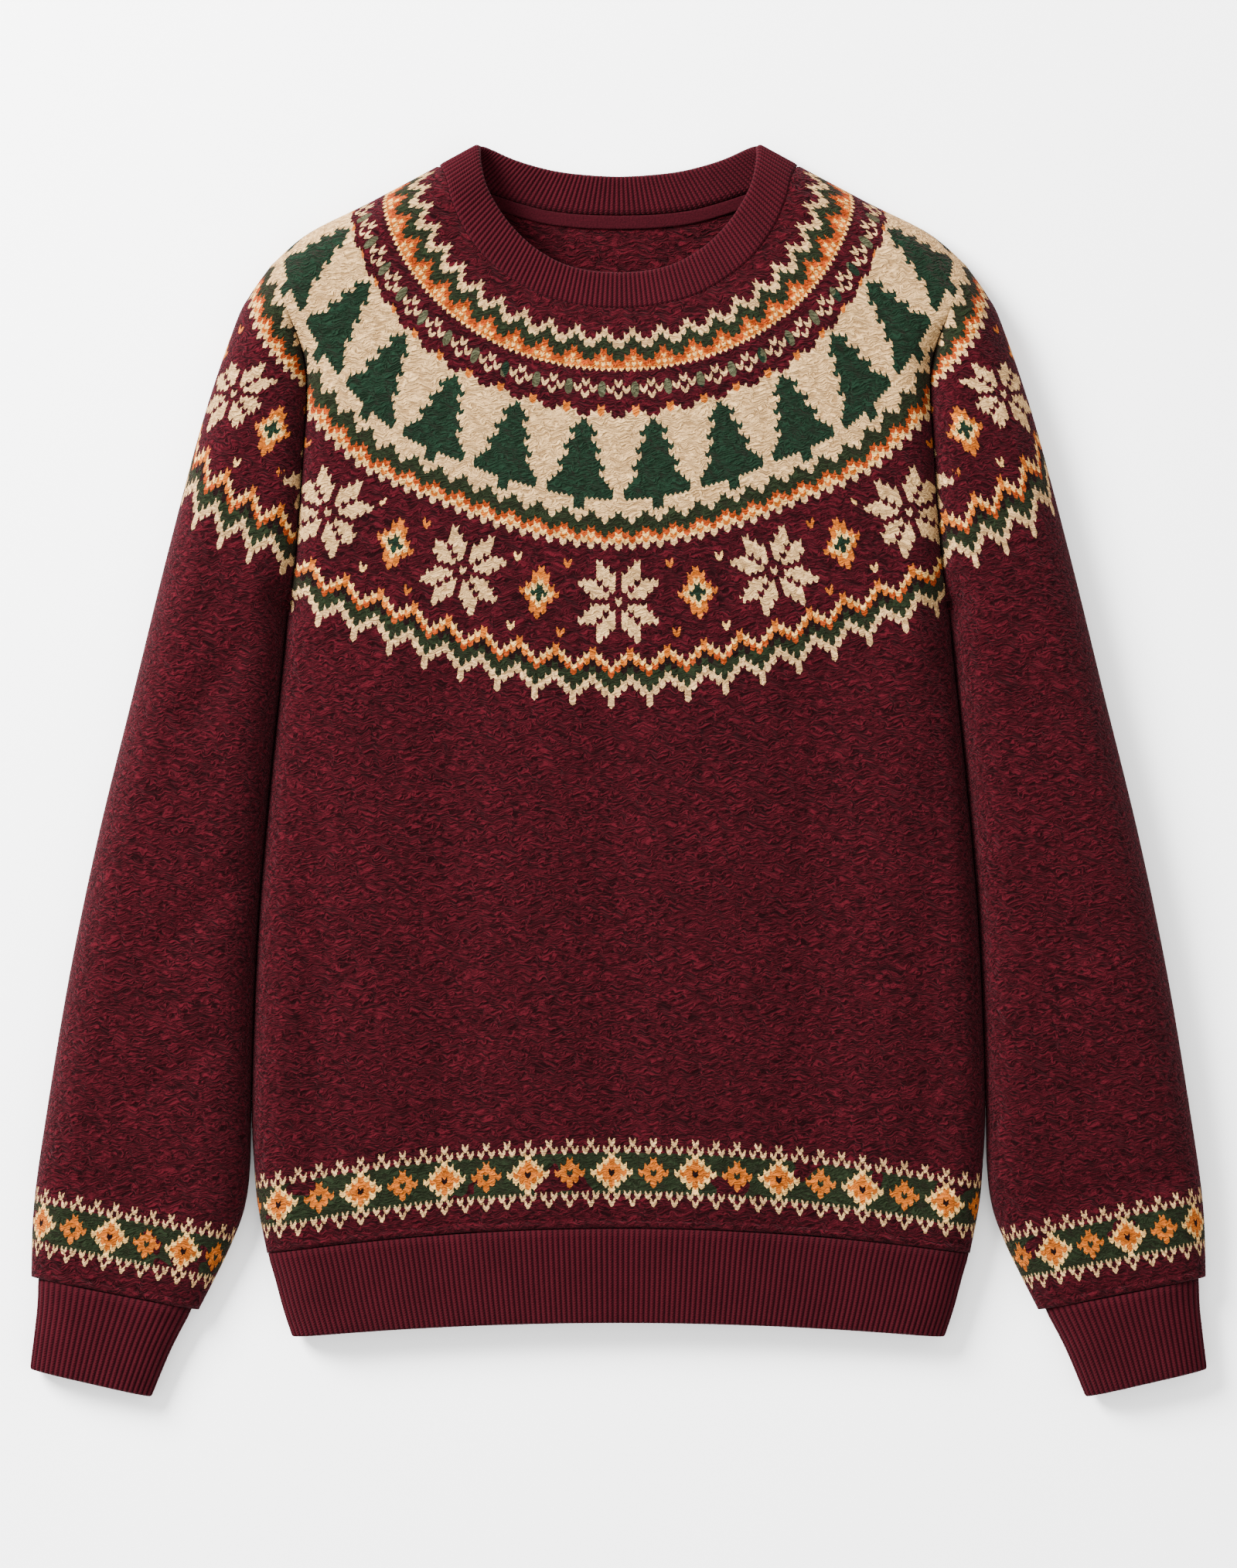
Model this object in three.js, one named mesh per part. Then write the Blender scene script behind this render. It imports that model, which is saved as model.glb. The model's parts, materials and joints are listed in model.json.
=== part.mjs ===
// A Christmas sweater with a round patterned yoke, lying flat on its back.
// Millimetres. X runs across, Y from the hem to the neck, Z up from the surface it lies on.
// Every piece is a cloth wall: a front layer lofted by the air inside, a back layer flat on
// the surface, and folds or seams half way up between them.
import * as THREE from 'three';

// Cloth
const WALL = 3; // fleecy knit, one layer
const RIB_WALL = 4; // doubled rib of the collar, hem and cuffs
const RIB_HEIGHT = 0.7;
const SEAM_GAP = 0.3;
const NECK_GAP = 0.6; // the neckline curves, so its straight steps need a little more

// Loft
const FOLD_Z = 9; // height of the side seams and sleeve folds
const FRONT_ROLL = 24; // distance from a fold to where the front is at full height
const BACK_ROLL = 12; // distance from a fold to where the back touches the surface
const CREASE_ROLL = 20; // half width of the crease along the armhole
const CREASE_DEPTH = 0.72; // share of the loft that the crease takes away
const CREASE_START = 262; // where the crease begins, below the shoulder
const CREASE_FULL = 226; // where it is at full depth
const NECK_CENTRE = new THREE.Vector2(0, 300);
const NECK_DIP = 6;
const NECK_DIP_RADIUS = 60;

// Ribs that show on top
const HEM_RIBS = 132;
const CUFF_RIBS = 25;
const COLLAR_FRONT_RIBS = 100;
const COLLAR_BACK_RIBS = 80;

// Neck tape, over the back neck seam inside
const TAPE_WIDTH = 7.5;
const TAPE_THICKNESS = 1.2;
const TAPE_HALF_LENGTH = 72;
const TAPE_STEPS = 20;
const TAPE_SEARCH_STEPS = 200;

// Outline of the wearer's left half, seen from above. Columns: x, y.
const SIDE = [
  [196, -269], [201, -243], [203, -222], [204.5, -188], [203, -130], [200, -74],
  [194, -6], [187, 61], [184, 92],
];
const ARMHOLE = [
  [184, 92], [180.5, 112], [178, 141], [175, 186], [173.5, 211], [175.5, 232], [184, 256],
  [193.5, 282],
];
const SHOULDER = [[193.5, 282], [173, 299.5], [139, 316.7], [100, 337.5]];
const NECK_SEAM_FRONT = [
  [100, 337.5], [96.2, 330], [93, 317], [84.5, 298.5], [70, 281], [46, 265.3], [22, 258.4],
  [0, 256.5],
];
const NECK_SEAM_BACK = [
  [100, 337.5], [96.2, 331.5], [88, 327], [72, 322.5], [57, 317.6], [40, 313.2], [20, 310.9],
  [0, 310.3],
];
const NECK_FOLD = [[100, 337.5], [78, 349.5]];
const NECK_EDGE_FRONT = [
  [78, 349.5], [76.5, 338], [73, 325], [66, 312], [57.5, 301], [46, 290.5], [31, 282],
  [15, 278], [0, 277],
];
const NECK_EDGE_BACK = [
  [78, 349.5], [70, 346.5], [60, 342], [48, 338], [33, 334.5], [15, 332.5], [0, 331.8],
];
const SLEEVE_OUTER = [
  [193.5, 282], [205.5, 265], [214, 248], [231.5, 196], [252, 119], [271, 41.5], [290, -36],
  [306, -113], [319, -191], [326, -242], [327.5, -282],
];
const SLEEVE_INNER = [
  [184, 92], [187, 61], [194, -6], [200, -74], [203, -130], [204.7, -188], [205.5, -222],
  [208.5, -244], [215, -262], [223.5, -280], [234, -300.5],
];
const CUFF_OUTER = [[323.5, -283.1], [324, -300], [328, -334]];
const CUFF_INNER = [[238, -300.1], [249.5, -322], [261, -349.5]];
const HEM_SIDE = [[195.5, -269.3], [191.8, -281.4], [186.8, -300], [181.5, -316]];
const HEM_SEAM_Y = -254.4;
const HEM_SEAM_DROP = 14.6; // how much lower the hem seam is at the sides
const HEM_END_Y = -307.7;

// Full height of the front layer. Columns: y, z.
const LOFT = [
  [-350, 16], [-300, 20], [-270, 22.5], [-240, 26], [-180, 30], [-60, 32.5], [120, 33],
  [260, 31], [300, 28], [350, 24],
];

// Soft troughs. Columns: from x, from y, to x, to y, half width, depth.
const BODY_TROUGHS = [
  [-174, 60, -168, -225, 14, 3.0],
  [-95, 40, -92, -240, 22, 3.8],
  [-4, 30, 0, -236, 20, 3.0],
  [112, 50, 108, -240, 23, 4.2],
  [178, 55, 174, -228, 13, 3.0],
];
const SLEEVE_TROUGHS = [
  [208, 70, 238, 28, 9, 2.6],
  [214, -62, 252, -100, 10, 2.6],
  [224, -150, 262, -178, 9, 2.2],
  [246, -236, 306, -226, 9, 2.4],
];

// Steps
const ROLL_ANGLES = [0, 30, 60, 90]; // degrees round a fold
const SIDE_STEPS = 10;
const ARMHOLE_MIDDLE_STEPS = 4;
const SHOULDER_STEPS = 3;
const NECK_STEPS = 10;
const NECK_STEP_SPREAD = 1.2; // over 1: shorter steps near the shoulder
const SLEEVE_STEPS = 9;
const RIB_STEPS = 8; // ribbed steps to each plain one, two for a rib
const CUFF_RIB_STEPS = 5;
const CUFF_BACK_STEPS = 6;
const HEM_BACK_STEPS = 8;
const BAND_ROWS = 2;
const NEAR_CREASE = [3, 10, 20]; // distances from the armhole, for the first sleeve rings

const curve = (rows) => new THREE.SplineCurve(rows.map(([x, y]) => new THREE.Vector2(x, y)));
const mirrored = (point) => new THREE.Vector2(-point.x, point.y);
const flat = (point) => new THREE.Vector2(point.x, point.y);

const lines = {
  side: curve(SIDE),
  armhole: curve(ARMHOLE),
  shoulder: curve(SHOULDER),
  neckFold: new THREE.LineCurve(...NECK_FOLD.map(([x, y]) => new THREE.Vector2(x, y))),
  neckSeamFront: curve(NECK_SEAM_FRONT),
  neckSeamBack: curve(NECK_SEAM_BACK),
  neckEdgeFront: curve(NECK_EDGE_FRONT),
  neckEdgeBack: curve(NECK_EDGE_BACK),
  sleeveOuter: curve(SLEEVE_OUTER),
  sleeveInner: curve(SLEEVE_INNER),
  cuffOuter: curve(CUFF_OUTER),
  cuffInner: curve(CUFF_INNER),
  hemSide: curve(HEM_SIDE),
};
const DISTANCE_STEPS = 80;
const trace = (line) => line.getSpacedPoints(DISTANCE_STEPS);
const bodyFolds = ['side', 'shoulder', 'sleeveOuter', 'neckFold'].map((name) => trace(lines[name]));
const sleeveFolds = ['sleeveInner', 'shoulder', 'sleeveOuter'].map((name) => trace(lines[name]));
const cuffFolds = [trace(lines.cuffOuter), trace(lines.cuffInner)];
const hemFolds = [trace(lines.hemSide)];
const collarFolds = [trace(lines.neckFold), trace(lines.shoulder)];
const crease = [trace(lines.armhole)];

function distanceToSegment(x, y, a, b) {
  const dx = b.x - a.x;
  const dy = b.y - a.y;
  const along = ((x - a.x) * dx + (y - a.y) * dy) / (dx * dx + dy * dy);
  const t = THREE.MathUtils.clamp(along, 0, 1);
  return Math.hypot(x - a.x - t * dx, y - a.y - t * dy);
}

function distanceTo(traces, x, y) {
  let nearest = Infinity;
  for (const points of traces) {
    for (let i = 1; i < points.length; i += 1) {
      nearest = Math.min(nearest, distanceToSegment(x, y, points[i - 1], points[i]));
    }
  }
  return nearest;
}

// 0 at a fold and 1 from reach onwards, round like the edge of a cushion
function roll(distance, reach) {
  const left = Math.max(0, 1 - distance / reach);
  return Math.sqrt(1 - left * left);
}

function loftAt(y) {
  let row = 1;
  while (row < LOFT.length - 1 && LOFT[row][0] < y) row += 1;
  const [y0, z0] = LOFT[row - 1];
  const [y1, z1] = LOFT[row];
  return THREE.MathUtils.mapLinear(THREE.MathUtils.clamp(y, y0, y1), y0, y1, z0, z1);
}

function troughsAt(troughs, x, y) {
  let depth = 0;
  for (const [x0, y0, x1, y1, width, deep] of troughs) {
    const distance = distanceToSegment(x, y, { x: x0, y: y0 }, { x: x1, y: y1 });
    depth += deep * Math.exp(-((distance / width) ** 2));
  }
  return depth;
}

function frontHeight(x, y, folds) {
  const across = Math.abs(x);
  const fromNeck = NECK_CENTRE.distanceTo(new THREE.Vector2(x, y));
  const full = loftAt(y) - NECK_DIP * Math.exp(-((fromNeck / NECK_DIP_RADIUS) ** 2))
    - troughsAt(BODY_TROUGHS, x, y) - troughsAt(SLEEVE_TROUGHS, across, y);
  const strength = THREE.MathUtils.smoothstep(-y, -CREASE_START, -CREASE_FULL);
  const creased = CREASE_DEPTH * strength * (1 - roll(distanceTo(crease, across, y), CREASE_ROLL));
  const open = roll(distanceTo(folds, across, y), FRONT_ROLL);
  return FOLD_Z + (full - FOLD_Z) * open * (1 - creased);
}

function backHeight(x, y, folds) {
  return FOLD_Z * (1 - roll(distanceTo(folds, Math.abs(x), y), BACK_ROLL));
}

const heightOf = (layer, x, y, folds) => (layer > 0 ? frontHeight : backHeight)(x, y, folds);

// A four-sided patch between its edges: bottom and top along u, left and right along v
function patch(bottom, top, left, right) {
  const corners = [bottom(0), bottom(1), top(0), top(1)];
  return (u, v) => {
    const [b, t, l, r] = [bottom(u), top(u), left(v), right(v)];
    const value = (axis) => (1 - v) * b[axis] + v * t[axis] + (1 - u) * l[axis] + u * r[axis]
      - (1 - u) * (1 - v) * corners[0][axis] - u * (1 - v) * corners[1][axis]
      - (1 - u) * v * corners[2][axis] - u * v * corners[3][axis];
    return new THREE.Vector2(value('x'), value('y'));
  };
}

// Closed solid between an outer and an inner grid. spans says how many outer and inner
// steps share each stretch of the rim, so that a ribbed face can meet a plain one.
function solidWall(outer, inner, spans, closed) {
  const points = [...outer.flat(), ...inner.flat()];
  const rowCount = outer.length;
  const widths = [outer[0].length, inner[0].length];
  const start = [0, rowCount * widths[0]];
  const index = (face, row, column) => start[face] + row * widths[face] + (column % widths[face]);
  const triangles = [];
  const add = (a, b, c, turned) => triangles.push(turned ? [a, c, b] : [a, b, c]);
  for (const face of [0, 1]) {
    const steps = closed ? widths[face] : widths[face] - 1;
    for (let row = 0; row + 1 < rowCount; row += 1) {
      for (let column = 0; column < steps; column += 1) {
        const corners = [
          index(face, row, column), index(face, row, column + 1),
          index(face, row + 1, column + 1), index(face, row + 1, column),
        ];
        add(corners[0], corners[1], corners[2], face === 1);
        add(corners[0], corners[2], corners[3], face === 1);
      }
    }
  }
  const zip = (outerAt, innerAt, outerSteps, innerSteps, turned) => {
    let o = 0;
    let i = 0;
    while (o < outerSteps || i < innerSteps) {
      const outerNext = o < outerSteps && (o + 1) * innerSteps <= (i + 1) * outerSteps;
      if (outerNext || i === innerSteps) {
        add(outerAt(o + 1), outerAt(o), innerAt(i), turned);
        o += 1;
      } else {
        add(outerAt(o), innerAt(i), innerAt(i + 1), turned);
        i += 1;
      }
    }
  };
  for (const row of [0, rowCount - 1]) {
    let [o, i] = [0, 0];
    for (const [outerSteps, innerSteps] of spans) {
      const [fromOuter, fromInner] = [o, i];
      zip((k) => index(0, row, fromOuter + k), (k) => index(1, row, fromInner + k),
        outerSteps, innerSteps, row > 0);
      o += outerSteps;
      i += innerSteps;
    }
  }
  if (!closed) {
    zip((k) => index(0, k, 0), (k) => index(1, k, 0), rowCount - 1, rowCount - 1, true);
    zip((k) => index(0, k, widths[0] - 1), (k) => index(1, k, widths[1] - 1),
      rowCount - 1, rowCount - 1, false);
  }
  let volume = 0;
  for (const [a, b, c] of triangles) {
    volume += points[a].dot(new THREE.Vector3().crossVectors(points[b], points[c]));
  }
  const order = volume < 0 ? triangles.map(([a, b, c]) => [a, c, b]) : triangles;
  const geometry = new THREE.BufferGeometry().setFromPoints(points);
  geometry.setIndex(order.flat());
  geometry.computeVertexNormals();
  return geometry;
}

// Unit normal of a layer's surface, pointing out of the garment
function surfaceNormal(point, layer, folds) {
  const reach = 0.5;
  const rise = (dx, dy) => (heightOf(layer, point.x + dx, point.y + dy, folds)
    - heightOf(layer, point.x - dx, point.y - dy, folds)) / (2 * reach);
  return new THREE.Vector3(-rise(reach, 0), -rise(0, reach), 1).normalize().multiplyScalar(layer);
}

// Level normal of a tube's fold, pointing away from the middle of the tube
function foldNormal(plan, share, v) {
  const step = 0.02;
  const tangent = plan(share, Math.min(1, v + step)).sub(plan(share, Math.max(0, v - step)));
  const outward = new THREE.Vector2(-tangent.y, tangent.x).normalize();
  if (outward.dot(plan(share, v).sub(plan(0.5, v))) < 0) outward.negate();
  return new THREE.Vector3(outward.x, outward.y, 0);
}

// Keeps a rim's cut face on the seam: no part of the normal points across it
function alongSeam(normal, tangent, atFold) {
  const across = new THREE.Vector3(-tangent.y, tangent.x, 0).normalize();
  const kept = normal.clone().addScaledVector(across, -normal.dot(across));
  if (atFold) kept.z = 0;
  return kept.normalize();
}

// At an edge where front and back meet, the wall's thickness turns level as they close up
function edgeNormal(point, outward, layer, folds) {
  const open = frontHeight(point.x, point.y, folds) - backHeight(point.x, point.y, folds);
  const rise = THREE.MathUtils.clamp(open / (2 * WALL), 0, 1);
  const level = Math.sqrt(1 - rise * rise);
  return new THREE.Vector3(outward.x * level, outward.y * level, layer * rise);
}

const inwardBy = (grid, normals, thickness) => grid.map((row, r) => row.map((point, c) => (
  point.clone().addScaledVector(normals[r][c], -thickness))));

// Shares of a length that follow the roll at both ends and are even between
function rolledShares(length, middleSteps) {
  const near = ROLL_ANGLES.map((angle) => (
    FRONT_ROLL * (1 - Math.cos(THREE.MathUtils.degToRad(angle))) / length));
  const first = near[near.length - 1];
  const middle = [];
  for (let step = 1; step < middleSteps; step += 1) {
    middle.push(THREE.MathUtils.lerp(first, 1 - first, step / middleSteps));
  }
  return [...near, ...middle, ...near.map((share) => 1 - share).reverse()];
}

// The neckline in the straight steps that the panels and the collar share
const neckShares = Array.from({ length: NECK_STEPS + 1 }, (_, k) => (
  (k / NECK_STEPS) ** NECK_STEP_SPREAD));
function neckSeamAt(line, share) {
  let k = 1;
  while (k < NECK_STEPS && neckShares[k] < share) k += 1;
  const local = (share - neckShares[k - 1]) / (neckShares[k] - neckShares[k - 1]);
  return line.getPointAt(neckShares[k - 1]).lerp(line.getPointAt(neckShares[k]), local);
}

const armholeShares = rolledShares(lines.armhole.getLength(), ARMHOLE_MIDDLE_STEPS);
const armpitShare = lines.side.getLength()
  / (lines.side.getLength() + lines.armhole.getLength());

function hemSeam(x) {
  return new THREE.Vector2(x, HEM_SEAM_Y - HEM_SEAM_DROP * (x / SIDE[0][0]) ** 2);
}

// Front and back panel, from the hem seam to the shoulders and the neckline
function bodyPanel(layer, neckSeam) {
  const edge = (v) => (v < armpitShare
    ? lines.side.getPointAt(v / armpitShare)
    : lines.armhole.getPointAt((v - armpitShare) / (1 - armpitShare)));
  const shoulderShare = lines.shoulder.getLength()
    / (lines.shoulder.getLength() + neckSeam.getLength());
  const topHalf = (share) => (share < shoulderShare
    ? lines.shoulder.getPointAt(share / shoulderShare)
    : neckSeamAt(neckSeam, Math.min(1, (share - shoulderShare) / (1 - shoulderShare))));
  const top = (u) => (u > 0.5 ? topHalf(2 - 2 * u) : mirrored(topHalf(2 * u)));
  const bottom = (u) => hemSeam(THREE.MathUtils.lerp(-SIDE[0][0], SIDE[0][0], u));
  const plan = patch(bottom, top, (v) => mirrored(edge(v)), edge);

  const halfColumns = rolledShares(2 * SIDE[0][0], 1).slice(0, ROLL_ANGLES.length)
    .map((share) => 2 * share);
  const rolled = halfColumns[halfColumns.length - 1];
  for (let step = 1; step <= SHOULDER_STEPS; step += 1) {
    halfColumns.push(THREE.MathUtils.lerp(rolled, shoulderShare, step / SHOULDER_STEPS));
  }
  for (const share of neckShares.slice(1)) {
    halfColumns.push(THREE.MathUtils.lerp(shoulderShare, 1, share));
  }
  const columns = [
    ...halfColumns.map((share) => share / 2),
    ...halfColumns.slice(0, -1).reverse().map((share) => 1 - share / 2),
  ];
  const rows = [];
  for (let step = 0; step < SIDE_STEPS; step += 1) rows.push(armpitShare * step / SIDE_STEPS);
  for (const share of armholeShares) rows.push(THREE.MathUtils.lerp(armpitShare, 1, share));

  const lift = (point) => {
    const z = heightOf(layer, point.x, point.y, bodyFolds) + layer * SEAM_GAP / 2;
    return new THREE.Vector3(point.x, point.y, Math.max(0, z));
  };
  const outer = rows.map((v) => columns.map((u) => lift(plan(u, v))));
  const normals = outer.map((row) => row.map((point) => surfaceNormal(point, layer, bodyFolds)));
  const lastRow = rows.length - 1;
  const lastColumn = columns.length - 1;
  for (let r = 0; r <= lastRow; r += 1) {
    for (let c = 0; c <= lastColumn; c += 1) {
      const onSide = c === 0 || c === lastColumn;
      if (r > 0 && r < lastRow && !onSide) continue;
      const point = outer[r][c];
      const along = r === 0 || (r === lastRow && !onSide) ? [r, r, c - 1, c + 1]
        : [r - 1, r + 1, c, c];
      const at = (row, column) => outer[THREE.MathUtils.clamp(row, 0, lastRow)][
        THREE.MathUtils.clamp(column, 0, lastColumn)];
      const tangent = flat(at(along[1], along[3])).sub(flat(at(along[0], along[2]))).normalize();
      if (r === 0) {
        const outwards = new THREE.Vector3(Math.sign(point.x) || 1, 0, 0);
        normals[r][c] = alongSeam(onSide ? outwards : normals[r][c], tangent, onSide);
        continue;
      }
      let outward = new THREE.Vector2(-tangent.y, tangent.x);
      if (onSide) outward.multiplyScalar(-Math.sign(point.x));
      if (onSide && r === lastRow) outward = shoulderPointNormal(Math.sign(point.x));
      normals[r][c] = edgeNormal(point, outward, layer, bodyFolds);
    }
  }
  const inner = inwardBy(outer, normals, WALL);
  return solidWall(outer, inner, columns.slice(1).map(() => [1, 1]), false);
}

// At the shoulder point the outline turns from the shoulder into the sleeve
function shoulderPointNormal(sideSign) {
  const before = lines.shoulder.getTangentAt(0).multiplyScalar(-1);
  const after = lines.sleeveOuter.getTangentAt(0);
  const tangent = before.add(after).normalize();
  return new THREE.Vector2(-tangent.y * sideSign, tangent.x);
}

// A flattened tube: front layer from one fold to the other, back layer the other way
function flatTube({ frontPlan, backPlan, rows, frontShares, backShares, folds, thickness,
  frontRibSteps = 1, backRibSteps = 1, startRing = null }) {
  const ring = [
    ...frontShares.map((share) => ({ share, layer: 1 })),
    ...backShares.slice(1, -1).reverse().map((share) => ({ share, layer: -1 })),
  ];
  const foldColumns = [0, frontShares.length - 1];
  const planOf = (layer) => (layer > 0 ? frontPlan : backPlan);
  const pointAt = (share, v, layer) => {
    const point = planOf(layer)(share, v);
    const onFold = share === 0 || share === 1;
    const z = onFold ? FOLD_Z : heightOf(layer, point.x, point.y, folds);
    return new THREE.Vector3(point.x, point.y, z);
  };
  const outer = rows.map((v) => ring.map(({ share, layer }) => pointAt(share, v, layer)));
  if (startRing) outer[0] = startRing.map(({ point }) => point);
  const normals = outer.map((row, r) => row.map((point, c) => (foldColumns.includes(c)
    ? foldNormal(frontPlan, ring[c].share, rows[r])
    : surfaceNormal(point, ring[c].layer, folds))));
  const ends = startRing ? [rows.length - 1] : [0, rows.length - 1];
  for (const r of ends) {
    ring.forEach(({ share, layer }, c) => {
      const step = 0.01;
      const from = planOf(layer)(Math.max(0, share - step), rows[r]);
      const tangent = planOf(layer)(Math.min(1, share + step), rows[r]).sub(from);
      normals[r][c] = alongSeam(normals[r][c], tangent, foldColumns.includes(c));
    });
  }
  if (startRing) normals[0] = startRing.map(({ normal }) => normal);
  const inner = inwardBy(outer, normals, thickness);

  const frontSteps = frontShares.length - 1;
  const spans = ring.map((_, c) => (c < frontSteps ? [frontRibSteps, 1] : [1, backRibSteps]));
  const ribbedOuter = outer.map((row, r) => row.flatMap((point, c) => {
    if (c >= frontSteps) return [point];
    return ribPoints(frontRibSteps, (k) => {
      const share = THREE.MathUtils.lerp(frontShares[c], frontShares[c + 1], k);
      return k === 0 ? point : pointAt(share, rows[r], 1);
    }, folds);
  }));
  const ribbedInner = inner.map((row) => row.flatMap((point, c) => {
    if (c < frontSteps) return [point];
    const next = row[(c + 1) % row.length];
    return ribPoints(backRibSteps, (k) => point.clone().lerp(next, k), folds);
  }));
  return solidWall(ribbedOuter, ribbedInner, spans, true);
}

// Points along one stretch, every second one raised as the crown of a rib
function ribPoints(steps, at, folds) {
  const points = [];
  for (let k = 0; k < steps; k += 1) {
    const point = at(k / steps).clone();
    const crown = k % 2 === 1 ? RIB_HEIGHT : 0;
    point.z += crown * roll(distanceTo(folds, Math.abs(point.x), point.y), BACK_ROLL);
    points.push(point);
  }
  return points;
}

const evenShares = (steps) => Array.from({ length: steps + 1 }, (_, k) => k / steps);

// The armhole as the sleeve's first ring: the same cut as the panels', one gap away
function armholeRing() {
  const ring = [];
  const add = (share, layer) => {
    const onFold = share === 0 || share === 1;
    const plan = lines.armhole.getPointAt(share);
    const tangent = lines.armhole.getTangentAt(share);
    const away = new THREE.Vector2(tangent.y, -tangent.x);
    const z = onFold ? FOLD_Z : heightOf(layer, plan.x, plan.y, bodyFolds);
    const normal = share === 1
      ? edgeNormal(plan, shoulderPointNormal(1), layer, bodyFolds)
      : edgeNormal(plan, away.clone().negate(), layer, bodyFolds);
    if (onFold) normal.setZ(0).normalize();
    plan.addScaledVector(away, 2 * SEAM_GAP);
    ring.push({ point: new THREE.Vector3(plan.x, plan.y, z), normal });
  };
  const fromShoulder = [...armholeShares].reverse();
  fromShoulder.forEach((share) => add(share, 1));
  armholeShares.slice(1, -1).forEach((share) => add(share, -1));
  return ring;
}

// Sleeve of the wearer's left arm, from the armhole to the cuff seam
function sleeveWall() {
  const outerEdge = (v) => lines.sleeveOuter.getPointAt(v);
  const innerEdge = (v) => lines.sleeveInner.getPointAt(v);
  const start = (u) => lines.armhole.getPointAt(1 - u);
  const seam = new THREE.LineCurve(lines.sleeveOuter.getPoint(1), lines.sleeveInner.getPoint(1));
  const plan = patch(start, (u) => seam.getPoint(u), outerEdge, innerEdge);
  const shifted = (u, v) => plan(u, v).add(new THREE.Vector2(2 * SEAM_GAP, 0));
  const length = lines.sleeveOuter.getLength();
  const near = NEAR_CREASE.map((distance) => distance / length);
  const first = near[near.length - 1];
  const far = evenShares(SLEEVE_STEPS).slice(1).map((k) => THREE.MathUtils.lerp(first, 1, k));
  const shares = armholeShares.map((share) => 1 - share).reverse();
  return flatTube({
    frontPlan: shifted,
    backPlan: shifted,
    rows: [0, ...near, ...far],
    frontShares: shares,
    backShares: shares,
    folds: sleeveFolds.map((points) => points.map((point) => (
      point.clone().add(new THREE.Vector2(2 * SEAM_GAP, 0))))),
    thickness: WALL,
    startRing: armholeRing(),
  });
}

// Cuff of the wearer's left arm, whose seam line lies a gap below the sleeve's
function cuffWall() {
  const topLine = new THREE.LineCurve(lines.cuffOuter.getPoint(0), lines.cuffInner.getPoint(0));
  const endLine = new THREE.LineCurve(lines.cuffOuter.getPoint(1), lines.cuffInner.getPoint(1));
  const plan = patch((u) => topLine.getPoint(u), (u) => endLine.getPoint(u),
    (v) => lines.cuffOuter.getPointAt(v), (v) => lines.cuffInner.getPointAt(v));
  return flatTube({
    frontPlan: plan,
    backPlan: plan,
    rows: evenShares(BAND_ROWS),
    frontShares: evenShares(2 * CUFF_RIBS / CUFF_RIB_STEPS),
    backShares: evenShares(CUFF_BACK_STEPS),
    folds: cuffFolds,
    thickness: RIB_WALL,
    frontRibSteps: CUFF_RIB_STEPS,
  });
}

function hemWall() {
  const halfWidth = HEM_SIDE[0][0];
  const lastX = HEM_SIDE[HEM_SIDE.length - 1][0];
  const lastDrop = HEM_END_Y - HEM_SIDE[HEM_SIDE.length - 1][1];
  const top = (u) => hemSeam(THREE.MathUtils.lerp(-halfWidth, halfWidth, u))
    .sub(new THREE.Vector2(0, SEAM_GAP));
  const end = (u) => {
    const x = THREE.MathUtils.lerp(-lastX, lastX, u);
    return new THREE.Vector2(x, HEM_END_Y - lastDrop * (x / lastX) ** 2);
  };
  const side = (v) => lines.hemSide.getPointAt(v);
  const plan = patch(top, end, (v) => mirrored(side(v)), side);
  return flatTube({
    frontPlan: plan,
    backPlan: plan,
    rows: evenShares(BAND_ROWS),
    frontShares: evenShares(2 * HEM_RIBS / RIB_STEPS),
    backShares: rolledShares(2 * halfWidth, HEM_BACK_STEPS),
    folds: hemFolds,
    thickness: RIB_WALL,
    frontRibSteps: RIB_STEPS,
  });
}

function collarWall() {
  const top = new THREE.Vector2(0, NECK_FOLD[1][1]);
  const whole = (halfAt) => (u) => (u > 0.5 ? halfAt(2 - 2 * u) : mirrored(halfAt(2 * u)));
  const seamHalf = (line) => (share) => {
    const point = neckSeamAt(line, share);
    return point.addScaledVector(top.clone().sub(point).normalize(), NECK_GAP);
  };
  const start = seamHalf(lines.neckSeamFront)(0);
  const end = lines.neckFold.getPoint(1);
  const fold = (v) => start.clone().lerp(end, v);
  const band = (seam, edge) => patch(whole(seamHalf(seam)), whole((share) => edge.getPointAt(share)),
    (v) => mirrored(fold(v)), fold);
  return flatTube({
    frontPlan: band(lines.neckSeamFront, lines.neckEdgeFront),
    backPlan: band(lines.neckSeamBack, lines.neckEdgeBack),
    rows: evenShares(BAND_ROWS),
    frontShares: evenShares(2 * COLLAR_FRONT_RIBS / RIB_STEPS),
    backShares: evenShares(2 * COLLAR_BACK_RIBS / RIB_STEPS),
    folds: collarFolds,
    thickness: RIB_WALL,
    frontRibSteps: RIB_STEPS,
    backRibSteps: RIB_STEPS,
  });
}

// Tape along the inside of the back neck seam, lying on the back panel
function neckTape() {
  const search = evenShares(TAPE_SEARCH_STEPS);
  const rows = [0, 1].map((side) => evenShares(TAPE_STEPS).map((share) => {
    const x = THREE.MathUtils.lerp(-TAPE_HALF_LENGTH, TAPE_HALF_LENGTH, share);
    const fromNeck = search.find((t) => lines.neckSeamBack.getPointAt(t).x <= Math.abs(x));
    const y = lines.neckSeamBack.getPointAt(fromNeck).y - NECK_GAP - side * TAPE_WIDTH;
    return new THREE.Vector3(x, y, WALL + SEAM_GAP + TAPE_THICKNESS);
  }));
  const inner = rows.map((row) => row.map((point) => (
    point.clone().setZ(WALL + SEAM_GAP))));
  return solidWall(rows, inner, evenShares(TAPE_STEPS).slice(1).map(() => [1, 1]), false);
}

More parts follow.
